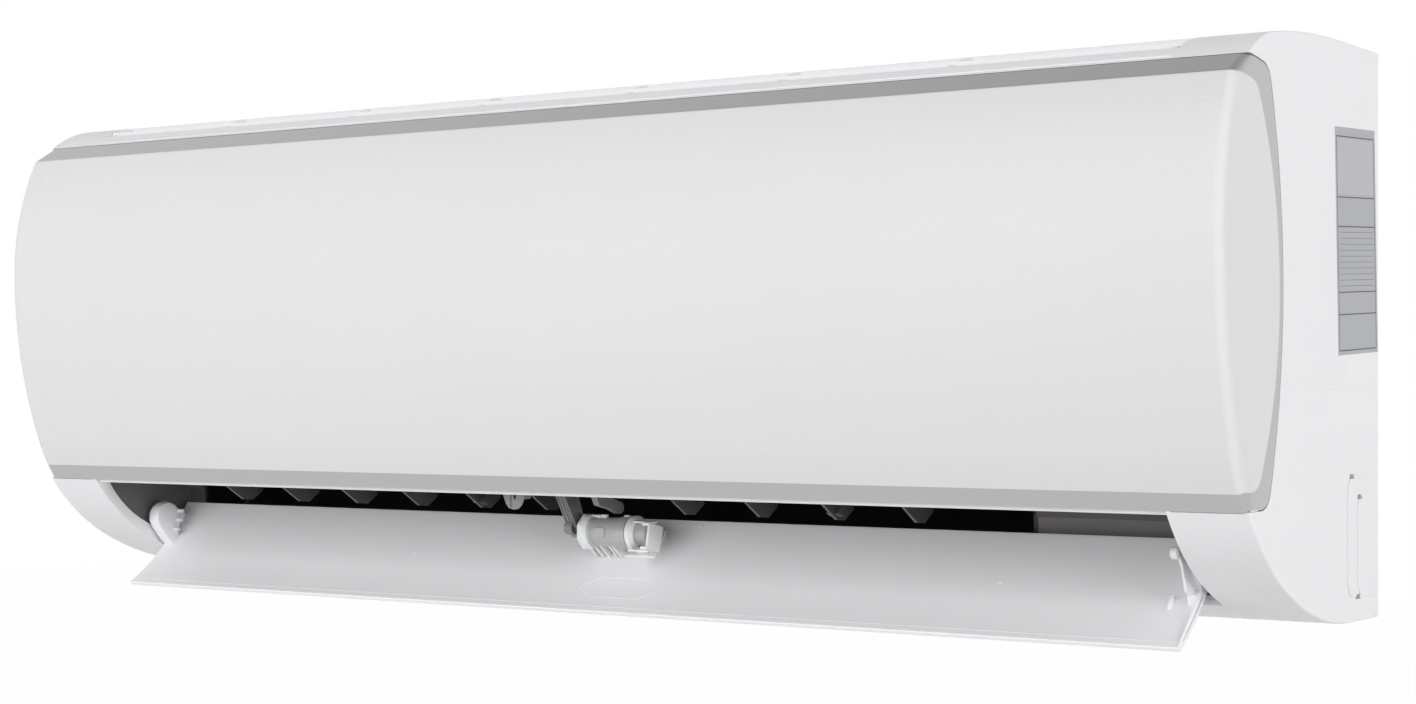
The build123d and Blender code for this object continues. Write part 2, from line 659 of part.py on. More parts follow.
with BuildPart() as fan_wheel:
    with BuildSketch(Plane.YZ.offset(FAN_X[0])):
        with Locations(FAN_AXIS):
            with PolarLocations(FAN_R - 5.4, BLADES):
                with Locations(Location((0, 0), 28)):
                    SlotCenterToCenter(8.4, 1.3)
    extrude(amount=FAN_X[1] - FAN_X[0])
    segments = 9
    pitch = (FAN_X[1] - FAN_X[0] - 2.5) / segments
    for index in range(segments + 1):
        x = FAN_X[0] + index * pitch
        rod_x((x, x + 2.5), FAN_AXIS, FAN_R)
    for index in range(1, segments):
        x = FAN_X[0] + index * pitch
        rod_x((x - 1, x + 3.5), FAN_AXIS, FAN_R - 11, Mode.SUBTRACT)
    rod_x((FAN_X[0] + 2.5, FAN_X[0] + 16), FAN_AXIS, 9)
    rod_x((FAN_X[1] - 18, FAN_X[1] - 2.5), FAN_AXIS, 10)
    rod_x((FAN_X[0] - 1, FAN_X[0] + 14), FAN_AXIS, SHAFT_R, Mode.SUBTRACT)
    rod_x((FAN_X[1] - 16, FAN_X[1] + 1), FAN_AXIS, SHAFT_R, Mode.SUBTRACT)
save(fan_wheel.part, "fan_wheel")

with BuildPart() as fan_shaft:
    rod_x((-358, FAN_X[0] + 14), FAN_AXIS, SHAFT_R)
    chamfer(fan_shaft.edges().group_by(Axis.X)[0], 0.6)
save(fan_shaft.part, "fan_shaft")

with BuildPart() as fan_bearing:
    rod_x((-356, -346), FAN_AXIS, 9)
    rod_x((-357, -345), FAN_AXIS, SHAFT_R + RUN, Mode.SUBTRACT)
save(fan_bearing.part, "fan_bearing")

with BuildPart() as bearing_holder:
    rod_x((-356, -345.5), FAN_AXIS, BUSH_BOSS_R[0])
    rod_x((-357, -345), FAN_AXIS, 9, Mode.SUBTRACT)
    for angle in range(0, 360, 60):
        spot = polar(FAN_AXIS, 13, angle)
        rod_x((-358, -350), spot, 2.0, Mode.SUBTRACT)
save(bearing_holder.part, "bearing_holder")

with BuildPart() as motor_shaft:
    rod_x((FAN_X[1] - 16, MOTOR_X[1] + 6), FAN_AXIS, SHAFT_R)
save(motor_shaft.part, "motor_shaft")

with BuildPart() as fan_motor:
    rod_x(MOTOR_X, FAN_AXIS, MOTOR_R)
    fillet(fan_motor.edges().filter_by(GeomType.CIRCLE), 4)
    rod_x((MOTOR_X[0] - 4, MOTOR_X[0]), FAN_AXIS, 12)
    rod_x((MOTOR_X[1], MOTOR_X[1] + 4), FAN_AXIS, 12)
    for index in range(3):
        x = MOTOR_X[0] + 26 + index * 6
        rod_x((x, x + 3), FAN_AXIS, MOTOR_R + 1.5)
    rod_x((MOTOR_X[0] - 5, MOTOR_X[1] + 7), FAN_AXIS, SHAFT_R + RUN, Mode.SUBTRACT)
save(fan_motor.part, "fan_motor")

with BuildPart() as motor_rubbers:
    for x in (MOTOR_X[0] + 5, MOTOR_X[1] - 13):
        rod_x((x, x + 8), FAN_AXIS, SEAT_R[0])
        rod_x((x - 1, x + 9), FAN_AXIS, MOTOR_R, Mode.SUBTRACT)
save(motor_rubbers.part, "motor_rubbers")

with BuildPart() as motor_clamp:
    with BuildSketch(Plane.YZ.offset(MOTOR_X[0] + 2)):
        with Locations(FAN_AXIS):
            Circle(SEAT_R[1])
            Circle(SEAT_R[0], mode=Mode.SUBTRACT)
        with Locations((FAN_AXIS[0], FAN_AXIS[1] - 50)):
            Rectangle(120, 100, mode=Mode.SUBTRACT)
        for side in (-1, 1):
            with Locations((FAN_AXIS[0] + side * (SEAT_R[0] + 5), FAN_AXIS[1] + 1.25)):
                Rectangle(10, SKIN)
    extrude(amount=60)
    for x in (MOTOR_X[0] + 24, MOTOR_X[0] + 40):
        block((x - 4, x + 4), (FAN_AXIS[0] - 12, FAN_AXIS[0] + 12), (0, 40), Mode.SUBTRACT)
save(motor_clamp.part, "motor_clamp")

# ================================================================ drain pan and outlet duct
ROOF_LENGTH = math.dist(ROOF_FRONT, ROOF_BACK)
ALONG = ((ROOF_BACK[0] - ROOF_FRONT[0]) / ROOF_LENGTH, (ROOF_BACK[1] - ROOF_FRONT[1]) / ROOF_LENGTH)
DOWN = (ALONG[1], -ALONG[0])


def duct_point(along, down):
    """(y, z) from a distance back along the duct roof and a distance below it."""
    y = ROOF_FRONT[0] + along * ALONG[0] + down * DOWN[0]
    z = ROOF_FRONT[1] + along * ALONG[1] + down * DOWN[1]
    return (y, z)


VANE_PIVOT = 22.0  # distance of the vane pivots back along the roof
VANE_PIN_R = 1.5
VANE_OUTLINE = [(15.4, 1.2), (30.0, 45.0), (35.8, 50.6), (47.3, 52.5), (35.5, 16.9), (32.7, 1.2)]
LINK_SPOT = (40.0, 40.0)
LINK_R = 1.5
LINK_PIN = 1.7  # radius and half height of the pin on which each vane turns on its link
LINK_HOLE_R = 2.6
vane_x = [VANE_FIRST_X + index * VANE_PITCH for index in range(11) if index != VANE_SKIPPED]


def vane_pin(x, low, high, radius, mode=Mode.ADD, along=VANE_PIVOT):
    """Cylinder square to the duct roof, between two distances below it; on a vane pivot by default."""
    y, z = duct_point(along, high)
    plane = Plane(origin=(x, y, z), x_dir=(1, 0, 0), z_dir=(0, -DOWN[0], -DOWN[1]))
    with Locations(plane):
        Cylinder(radius, high - low, align=(Align.CENTER, Align.CENTER, Align.MIN), mode=mode)


SPOUT_AT = (-152.0, -52.0)
SPOUT_BORE_R = 4.5

with BuildPart() as drain_pan:
    section = outline(
        -361.0, (-174.5, -46), (-174.5, -55), (-167, -68), ROOF_FRONT, ROOF_BACK, (-137, -56), (-139.5, -46),
        (-142.5, -46), (-142.5, -56), (-172.5, -56), (-172.5, -46)
    )
    extrude(section, amount=722.0)
    for x in vane_x:
        vane_pin(x, -7, 1, VANE_PIN_R + RUN, Mode.SUBTRACT)
    for x in SCREW_X:
        rod_y((-180, -160), (x, SCREW_Z), 1.6, Mode.SUBTRACT)
    # ends of the trough, and the outlet for the spout
    for x in (-361.0, 358.5):
        extrude(outline(x, (-173.5, -57), (-141.5, -57), (-141.5, -46), (-173.5, -46)), amount=SKIN)
    rod_x((-365, 365), SPOUT_AT, 4.0, Mode.SUBTRACT)
save(drain_pan.part, "drain_pan")

with BuildPart() as drain_spouts:
    for side in (-1, 1):
        rod_x(sorted((side * 361, side * 378)), SPOUT_AT, 6.5)
        rod_x(sorted((side * 361, side * 363)), SPOUT_AT, 8.5)
    rod_x((-380, 380), SPOUT_AT, SPOUT_BORE_R, Mode.SUBTRACT)
save(drain_spouts.part, "drain_spouts")

# the left spout is plugged; the hose goes on the right one
with BuildPart() as drain_plug:
    rod_x((-386, -372), SPOUT_AT, SPOUT_BORE_R)
    rod_x((-386, -378), SPOUT_AT, 8.0)
    chamfer(drain_plug.edges().group_by(Axis.X)[0], 1.0)
save(drain_plug.part, "drain_plug")

CLOSING_PATH = [(-145, -65.8), (-100, -83), (-89, -93), (-87, -119)]
SIDE_WALL = [
    (-163, -86.5), (-147, -66), (-88, -66), (-86, -119),
    (-102.5, -128.8), (-107, -126.5), (-131, -116), (-147, -105.5), (-158, -94.5)
]

with BuildPart() as outlet_duct:
    for low, high in ((-DUCT_WALL_X, DUCT_X[0]), (DUCT_X[1], DUCT_WALL_X)):
        extrude(sheet(low, 2.0, 0, *CLOSING_PATH), amount=high - low)
    floor = sheet(-DUCT_WALL_X, 2.0, 0, (-90.0, -121.8), (-101.0, -127.8))
    extrude(floor, amount=2 * DUCT_WALL_X)
    for x in (-DUCT_WALL_X - SKIN, DUCT_WALL_X):
        extrude(outline(x, *SIDE_WALL), amount=SKIN)
    rod_x((-DUCT_WALL_X - 5, -DUCT_WALL_X + 2), FLAP_AXIS, PIVOT_R + RUN, Mode.SUBTRACT)
    rod_x((DUCT_WALL_X - 2, DUCT_WALL_X + 5), FLAP_AXIS, 5.0, Mode.SUBTRACT)
save(outlet_duct.part, "outlet_duct")

# ================================================================ horizontal flap
FLAP_FRONT = (-47.6, 18.0)  # edges with the flap shut, from its axis
FLAP_BACK = (9.9, -22.7)
FLAP_BELLY = 4.6
EAR_FEET = (38.0, 61.0)
CLIP_FEET = (28.0, 46.0)
flap_chord = math.dist(FLAP_FRONT, FLAP_BACK)
CHORD = ((FLAP_BACK[0] - FLAP_FRONT[0]) / flap_chord, (FLAP_BACK[1] - FLAP_FRONT[1]) / flap_chord)
OUTWARD = (CHORD[1], -CHORD[0])


def flap_plane(x):
    """Plane at x that turns with the flap, its axes those of (y, z) with the flap shut."""
    angle = math.radians(FLAP_OPEN)
    return Plane(
        origin=(x, FLAP_AXIS[0], FLAP_AXIS[1]), x_dir=(0, math.cos(angle), math.sin(angle)), z_dir=(1, 0, 0)
    )


def flap_point(along, outward):
    """Point in the flap's plane from a distance along its chord and a distance outward."""
    x = FLAP_FRONT[0] + along * CHORD[0] + outward * OUTWARD[0]
    y = FLAP_FRONT[1] + along * CHORD[1] + outward * OUTWARD[1]
    return (x, y)


def flap_foot(x, thick, hub_r, feet):
    """Plate from a hub on the flap's axis down to the blade, where feet says along its chord."""
    with BuildSketch(flap_plane(x)) as foot:
        Circle(hub_r)
        for along in feet:
            with Locations(flap_point(along, 2.2)):
                Circle(1.0)
        make_hull()
    return extrude(foot.sketch, amount=thick)


with BuildPart() as flap:
    with BuildSketch(flap_plane(-FLAP_X)):
        with BuildLine():
            ThreePointArc(FLAP_FRONT, flap_point(flap_chord / 2, FLAP_BELLY), FLAP_BACK)
            ThreePointArc(
                flap_point(0.6, -FLAP_T),
                flap_point(flap_chord / 2, FLAP_BELLY - FLAP_T),
                flap_point(flap_chord - 0.6, -FLAP_T),
            )
            Line(FLAP_FRONT, flap_point(0.6, -FLAP_T))
            Line(FLAP_BACK, flap_point(flap_chord - 0.6, -FLAP_T))
        make_face()
    extrude(amount=2 * FLAP_X)
    fillet(flap.edges().filter_by(Axis.X), 0.7)
    for x in (-FLAP_X, FLAP_X - 3):
        add(flap_foot(x, 3, 8.2, EAR_FEET))
    rod_x((-DUCT_WALL_X - 2.3, -FLAP_X), FLAP_AXIS, PIVOT_R)
    rod_x((-FLAP_X - 4, -FLAP_X), FLAP_AXIS, 5.5)
    rod_x((FLAP_X - 3, FLAP_X + 5), FLAP_AXIS, 5.5)
    rod_x((FLAP_X - 4, FLAP_X + 6), FLAP_AXIS, 2.5, Mode.SUBTRACT)
save(flap.part, "flap")

BARREL_X = (-11.5, 15.5)
CLIP_FEET_X = (-9.5, -0.5, 7.5, 15.5, 29.5)

with BuildPart() as flap_clip:
    rod_x(BARREL_X, FLAP_AXIS, 9.0)
    with BuildSketch(Plane.YZ.offset(BARREL_X[0] - 2)):
        with Locations(FLAP_AXIS):
            RegularPolygon(10.5, 6)
    extrude(amount=3)
    rod_x((BARREL_X[1], BARREL_X[1] + 3), FLAP_AXIS, 10.5)
    rod_x((BARREL_X[1] + 3, BARREL_X[1] + 14), FLAP_AXIS, 7.0)
    with BuildSketch(Plane.YZ.offset(BARREL_X[1] + 14)):
        with Locations(FLAP_AXIS):
            Circle(10.0)
            with Locations((0, 8)):
                Rectangle(7, 10, mode=Mode.SUBTRACT)
    extrude(amount=3)
    for x in CLIP_FEET_X:
        add(flap_foot(x, 2, 6, CLIP_FEET))
    rod_x((BARREL_X[0] - 3, BARREL_X[1] + 20), FLAP_AXIS, PIVOT_R + RUN, Mode.SUBTRACT)
    add(flap.part, mode=Mode.SUBTRACT)
save(flap_clip.part, "flap_clip")

BRACKET_X = (-27.0, 24.0)
BRACKET_ARM_T = 4.0
# where each arm of the bracket stands, and the (place, radius) of the rounds that its plates join
BRACKET_ARMS = [
    (-22.5, [(duct_point(24.5, 2), 1.5), (duct_point(32, 2), 1.5), ((-126.4, -91), 3.0), (FLAP_AXIS, 3.8)]),
    (5.0, [(duct_point(20, 2), 1.5), (duct_point(32, 2), 1.5), ((-138.9, -91), 1.2), ((-128.5, -92.5), 2.0)]),
    (5.0, [((-128.0, -91.5), 3.0), ((-120.2, -94.2), 3.3)]),
]

with BuildPart() as flap_bracket:
    base = outline(BRACKET_X[0], duct_point(9, 0), duct_point(33, 0), duct_point(33, 3), duct_point(9, 3))
    extrude(base, amount=BRACKET_X[1] - BRACKET_X[0])
    for x, rounds in BRACKET_ARMS:
        with BuildSketch(Plane.YZ.offset(x)):
            for place, radius in rounds:
                with Locations(place):
                    Circle(radius)
            make_hull()
        extrude(amount=BRACKET_ARM_T)
    rod_x((-20.5, 34), FLAP_AXIS, PIVOT_R)
save(flap_bracket.part, "flap_bracket")

with BuildPart() as flap_motor_shaft:
    rod_x((FLAP_X - 2, 378), FLAP_AXIS, 2.5)
save(flap_motor_shaft.part, "flap_motor_shaft")

with BuildPart() as flap_motor:
    rod_x((366.5, 384), FLAP_AXIS, 13.0)
    fillet(flap_motor.edges().filter_by(GeomType.CIRCLE), 1.0)
    block((366.5, 367.5), (FLAP_AXIS[0] - 3, FLAP_AXIS[0] + 3), (FLAP_AXIS[1] + 10, FLAP_AXIS[1] + 20))
    block((367, 380), (FLAP_AXIS[0] + 8, FLAP_AXIS[0] + 16), (FLAP_AXIS[1] - 5, FLAP_AXIS[1] + 5))
    rod_x((366, 379), FLAP_AXIS, 2.5 + RUN, Mode.SUBTRACT)
save(flap_motor.part, "flap_motor")

# ================================================================ upright vanes and their links
TAB_VANES = (4, 8)  # the vanes with a finger tab, counted in vane_x

for index, x in enumerate(vane_x):
    with BuildPart() as vane:
        blade = outline(x - VANE_T / 2, *[duct_point(*point) for point in VANE_OUTLINE])
        extrude(blade, amount=VANE_T)
        fillet(vane.edges().filter_by(Axis.X), 0.8)
        vane_pin(x, -5, 3, VANE_PIN_R)
        if index in TAB_VANES:
            tab_points = [duct_point(*point) for point in ((29.5, 40), (32, 44.5), (35, 43.5), (32.5, 39))]
            extrude(outline(x - 4, *tab_points), amount=8)
        rod_x((x - 5, x + 5), duct_point(*LINK_SPOT), LINK_HOLE_R, Mode.SUBTRACT)
    save(vane.part, f"vane_{index + 1:02d}")

for name, group in (("left", vane_x[:6]), ("right", vane_x[6:])):
    with BuildPart() as vane_link:
        spot = duct_point(*LINK_SPOT)
        rod_x((group[0] - 5, group[-1] + 5), spot, LINK_R)
        for x in group:
            vane_pin(x, LINK_SPOT[1] - LINK_PIN, LINK_SPOT[1] + LINK_PIN, LINK_PIN, along=LINK_SPOT[0])
            rod_x((x - 4.2, x - 3.2), spot, 3.2)
            rod_x((x + 3.2, x + 4.2), spot, 3.2)
    save(vane_link.part, f"vane_link_{name}")

# ================================================================ electrical parts
BOX_X = (266.0, 386.0)
BOX_Y = (-148.0, -98.0)
BOX_Z = (18.0, 80.0)
BOX_WALL = 2.0

with BuildPart() as electrical_box:
    block(BOX_X, BOX_Y, BOX_Z)
    fillet(electrical_box.edges().filter_by(Axis.Y), 4)
    hollow_x = (BOX_X[0] + BOX_WALL, BOX_X[1] - BOX_WALL)
    hollow_z = (BOX_Z[0] + BOX_WALL, BOX_Z[1] - BOX_WALL)
    block(hollow_x, (BOX_Y[0] - 1, BOX_Y[1] - BOX_WALL), hollow_z, Mode.SUBTRACT)
    block((300, 340), (BOX_Y[1] - 1, BACK_Y[0]), (60, 64))
    for x in (272, 380):
        for z in (25, 73):
            rod_y((-108, -99), (x, z), 3)
save(electrical_box.part, "electrical_box")

with BuildPart() as electrical_cover:
    block((BOX_X[0] - 1, BOX_X[1] + 1), (BOX_Y[0] - 1.6, BOX_Y[0]), (BOX_Z[0] - 1, BOX_Z[1] + 1))
    fillet(electrical_cover.edges().filter_by(Axis.Y), 4)
    for index in range(7):
        x = BOX_X[0] + 30 + index * 10
        block((x, x + 4), (BOX_Y[0] - 3, BOX_Y[0] + 1), (56, 72), Mode.SUBTRACT)
save(electrical_cover.part, "electrical_cover")

BOARD_Y = (-109.6, -108.0)

with BuildPart() as main_board:
    block((269, 383), BOARD_Y, (21, 77))
save(main_board.part, "main_board")

with BuildPart() as board_components:
    face = BOARD_Y[0]
    block((276, 296), (face - 16, face), (28, 44))  # relay
    block((300, 318), (face - 14, face), (28, 42))  # second relay
    block((324, 350), (face - 24, face), (26, 50))  # transformer
    block((358, 376), (face - 10, face), (30, 36))  # connector
    block((358, 376), (face - 10, face), (42, 48))  # connector
    for x, z, radius, tall in ((284, 60, 7, 25), (302, 62, 5, 20), (316, 60, 4, 16), (340, 64, 5, 18)):
        rod_y((face - tall, face), (x, z), radius)
    block((356, 374), (face - 3, face), (56, 72))  # controller chip
save(board_components.part, "board_components")

with BuildPart() as terminal_block:
    block((306, 376), (-146, -130), (4, 18))
    for index in range(5):
        x = 313 + index * 14
        block((x - 5, x + 5), (-148, -142), (3, 12), Mode.SUBTRACT)
        rod_y((-145, -141), (x, 8), 2.6)
save(terminal_block.part, "terminal_block")

DISPLAY_Y = (-195.5, -182.5)
BUTTON_AT = (362.0, 20.0)
BUTTON_R = 4.0

with BuildPart() as display_unit:
    block((DISPLAY_X[0] + 0.5, DISPLAY_X[1] - 0.5), DISPLAY_Y, (DISPLAY_Z[0] + 0.5, DISPLAY_Z[1] - 0.5))
    fillet(display_unit.edges().filter_by(Axis.Y), 3)
    # curved flange against the back of the frame
    flange = arc_band(DISPLAY_X[0] - 4, FILTER_CENTRE, (FRAME_R[0] - 1.8, FRAME_R[0] - 0.2), (0.6, 17.8))
    extrude(flange, amount=DISPLAY_X[1] - DISPLAY_X[0] + 8)
    hollow_x = (DISPLAY_X[0] + 2.5, DISPLAY_X[1] - 2.5)
    block(hollow_x, (DISPLAY_Y[0] + 1.5, -180), (DISPLAY_Z[0] + 2.5, DISPLAY_Z[1] - 2.5), Mode.SUBTRACT)
    rod_y((-197, -193), BUTTON_AT, BUTTON_R + 0.25, Mode.SUBTRACT)
    for index in range(4):
        rod_y((-197, -193), (300 + index * 11, 20), 1.5, Mode.SUBTRACT)
save(display_unit.part, "display_unit")

with BuildPart() as emergency_button:
    rod_y((-197.0, -193.0), BUTTON_AT, BUTTON_R)
    fillet(emergency_button.edges().group_by(Axis.Y)[0], 0.6)
    rod_y((-193.7, -192.5), BUTTON_AT, BUTTON_R + 1.5)
save(emergency_button.part, "emergency_button")

# ================================================================ sensors and screws
with BuildPart() as room_sensor:
    rod_x((268, 292), (-154.5, 47), 2.5)
    for x in (271, 285):
        block((x, x + 3), (-157, BOX_Y[0] - 1.6), (43.5, 50.5))
save(room_sensor.part, "room_sensor")

with BuildPart() as coil_sensor:
    spot = slab_tube(SLABS["front_lower"], 1, 0)
    rod_x((HAIRPIN_X[1], HAIRPIN_X[1] + 28), spot, 3.2)
save(coil_sensor.part, "coil_sensor")

with BuildPart() as frame_screws:
    for x in SCREW_X:
        rod_y((-175.6, -160), (x, SCREW_Z), 1.6)
        rod_y((-178.0, -175.6), (x, SCREW_Z), 3.4)
save(frame_screws.part, "frame_screws")

with BuildPart() as clamp_screws:
    for x in (MOTOR_X[0] + 10, MOTOR_X[0] + 54):
        for side in (-1, 1):
            y = FAN_AXIS[0] + side * (SEAT_R[0] + 6.0)
            with Locations((x, y, FAN_AXIS[1] + SKIN)):
                Cylinder(3.2, 2.2, align=(Align.CENTER, Align.CENTER, Align.MIN))
save(clamp_screws.part, "clamp_screws")
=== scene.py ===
"""Looks of a wall-hung mini split indoor unit, built around its CAD frame.

The CAD nodes keep their shape and get their finishes here. The small moulded details that the
frame leaves plain, such as gussets, lips and the clear clip, are added as pieces.
"""

import json
import logging
import math
from dataclasses import dataclass
from enum import Enum

import bmesh
import bpy
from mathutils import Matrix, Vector

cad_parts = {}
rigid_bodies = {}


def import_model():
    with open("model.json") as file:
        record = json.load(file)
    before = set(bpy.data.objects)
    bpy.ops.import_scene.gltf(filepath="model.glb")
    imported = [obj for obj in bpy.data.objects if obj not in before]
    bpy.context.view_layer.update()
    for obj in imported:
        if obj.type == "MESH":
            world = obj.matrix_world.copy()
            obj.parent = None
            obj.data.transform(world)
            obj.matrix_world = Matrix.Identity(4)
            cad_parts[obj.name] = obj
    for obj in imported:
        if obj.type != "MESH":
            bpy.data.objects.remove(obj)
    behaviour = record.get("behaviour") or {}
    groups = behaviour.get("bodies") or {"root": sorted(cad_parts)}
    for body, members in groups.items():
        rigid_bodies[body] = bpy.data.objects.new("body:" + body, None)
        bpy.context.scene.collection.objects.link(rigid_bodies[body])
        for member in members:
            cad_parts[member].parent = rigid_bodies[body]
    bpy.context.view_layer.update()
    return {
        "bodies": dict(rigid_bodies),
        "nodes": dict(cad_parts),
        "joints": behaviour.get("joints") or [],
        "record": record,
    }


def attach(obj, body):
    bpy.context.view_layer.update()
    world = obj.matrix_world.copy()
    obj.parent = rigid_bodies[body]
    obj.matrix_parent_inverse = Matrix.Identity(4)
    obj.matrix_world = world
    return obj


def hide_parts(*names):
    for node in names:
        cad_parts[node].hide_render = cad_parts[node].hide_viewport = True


LOG = logging.getLogger("indoor_unit")
MM = 0.001
SHARP_DEGREES = 32.0  # edges that turn further than this shade as sharp
EASE_RADIANS = 0.6  # edges that turn further than this are bevelled
WELD = 0.002  # millimetres within which corners are merged
SUBSURFACE_DEPTH = 0.004
BUMP_HEIGHT = 0.001
WHITE = (1.0, 1.0, 1.0)

Colour = tuple[float, float, float]
Point = tuple[float, float]
Span = tuple[Point, Point]
Node = bpy.types.Node
Socket = bpy.types.NodeSocket
Values = dict[str | int, object]


def put(name: str, data: bpy.types.ID) -> bpy.types.Object:
    """Places new data in the scene.

    Args:
        name: Name of the object.
        data: Its mesh, camera or light.

    Returns:
        The object.
    """
    made = bpy.data.objects.new(name, data)
    bpy.context.scene.collection.objects.link(made)
    return made


# ---- node helpers
class NodeTree:
    """Short calls for building one shader's node tree."""

    def __init__(self, tree: bpy.types.NodeTree) -> None:
        """Wraps the tree that nodes are added to."""
        self.tree = tree

    @classmethod
    def blank(cls, owner: bpy.types.Material | bpy.types.World) -> "NodeTree":
        """Turns on the nodes of a material or a world, and empties them.

        Args:
            owner: The material or the world.

        Returns:
            Its wrapped tree.
        """
        owner.use_nodes = True
        owner.node_tree.nodes.clear()
        return cls(owner.node_tree)

    def feed(self, value: object, target: Socket) -> None:
        """Links a socket to an input, or sets the input's default.

        Args:
            value: A socket, a number, a vector or a colour.
            target: The input.
        """
        if isinstance(value, Socket):
            self.tree.links.new(value, target)
        elif target.type == "RGBA":
            target.default_value = (*value, 1.0)
        else:
            target.default_value = value

    def add(self, kind: str, values: Values | None = None, **settings: object) -> Node:
        """Adds a node.

        Args:
            kind: The node's bl_idname.
            values: What each input is fed, by its name or number.
            settings: Attributes of the node itself.

        Returns:
            The new node.
        """
        node = self.tree.nodes.new(kind)
        for name, value in settings.items():
            setattr(node, name, value)
        for key, value in (values or {}).items():
            self.feed(value, node.inputs[key])
        return node

    def math(self, kind: str, first: object, second: object = 0.0, clamp: bool = False) -> Socket:
        """Adds a Math node on two sockets or numbers and returns its result."""
        values = {0: first, 1: second}
        return self.add("ShaderNodeMath", values, operation=kind, use_clamp=clamp).outputs[0]

    def mix(self, factor: object, first: object, second: object) -> Socket:
        """Adds a Mix node on two sockets or colours and returns its colour."""
        values = {0: factor, 6: first, 7: second}
        return self.add("ShaderNodeMix", values, data_type="RGBA").outputs[2]

    def seen(self) -> tuple[Socket, Socket]:
        """Tells rays that see a thing directly from rays that it only lights.

        Returns:
            1 for rays from the camera, through clear things or off mirrors, and 1 for the last.
        """
        rays = self.add("ShaderNodeLightPath").outputs
        direct = self.math("MAXIMUM", rays["Is Camera Ray"], rays["Is Transmission Ray"])
        return self.math("MAXIMUM", direct, rays["Is Glossy Ray"]), rays["Is Glossy Ray"]

    def blend(self, output: str, share: Socket, first: Node, second: Node) -> None:
        """Ends the tree in a blend of two shaders.

        Args:
            output: The output node's bl_idname.
            share: Share of the second shader.
            first: The first shader's node.
            second: The second shader's node.
        """
        values = {0: share, 1: first.outputs[0], 2: second.outputs[0]}
        blend = self.add("ShaderNodeMixShader", values)
        self.add(output, {"Surface": blend.outputs[0]})


# ---- finishes
class Pattern(Enum):
    """What is drawn over a finish."""

    NONE = "none"
    BRUSHED = "brushed"
    FINS = "fins"
    NET = "net"


DRIFT_NOISE = {"Scale": 5.0, "Detail": 4.0, "Roughness": 0.6}
ROUGHNESS_DRIFT = 0.06
SPECK_NOISE = {"Scale": 260.0, "Detail": 4.0}
WORN_EDGE = {"From Min": 0.52, "From Max": 0.62}
WORN_GAIN = 1.4
DUST_NOISE = {"Scale": 38.0, "Detail": 5.0}
DUST_COLOUR = (0.6, 0.58, 0.54)
DUST_SLOPE = 3.0
DUST_ROUGHNESS = 0.5
STREAK_NOISE = {"Scale": 700.0, "Detail": 3.0}
STREAK_STRETCH = (0.02, 1.0, 1.0)
STREAK_ROUGHNESS = 0.12
FIN_PITCH, FIN_WIDTH = 0.0015, 0.5
# painted shade: the dark drawn between the fin lines stands in for the shade deep in the gaps
# between fins
FIN_GAP_SHADE = (0.06, 0.065, 0.07)
FIN_GRAIN = 0.2
NET_PITCH, NET_WIDTH = 0.0016, 0.34
LINE_SOFTNESS = 0.05


@dataclass
class Layers:
    """What a finish has made so far in its tree, from its object coordinates."""

    tree: NodeTree
    place: Socket
    colour: Socket
    rough: Socket
    height: Socket

    def lines(self, axis: str, pitch: float, width: float) -> Socket:
        """Draws parallel lines, as the edges of thin fins or the wires of a net.

        Args:
            axis: The axis that they cross.
            pitch: Metres from line to line.
            width: Share of the pitch that a line covers.

        Returns:
            The lines' mask.
        """
        tree = self.tree
        across = tree.add("ShaderNodeSeparateXYZ", {0: self.place}).outputs[axis]
        phase = tree.math("FRACT", tree.math("DIVIDE", across, pitch))
        ridge = tree.math("ABSOLUTE", tree.math("SUBTRACT", phase, 0.5))
        half = width * 0.5
        values = {"Value": ridge, "From Min": half + LINE_SOFTNESS, "From Max": half}
        return tree.add("ShaderNodeMapRange", values).outputs["Result"]


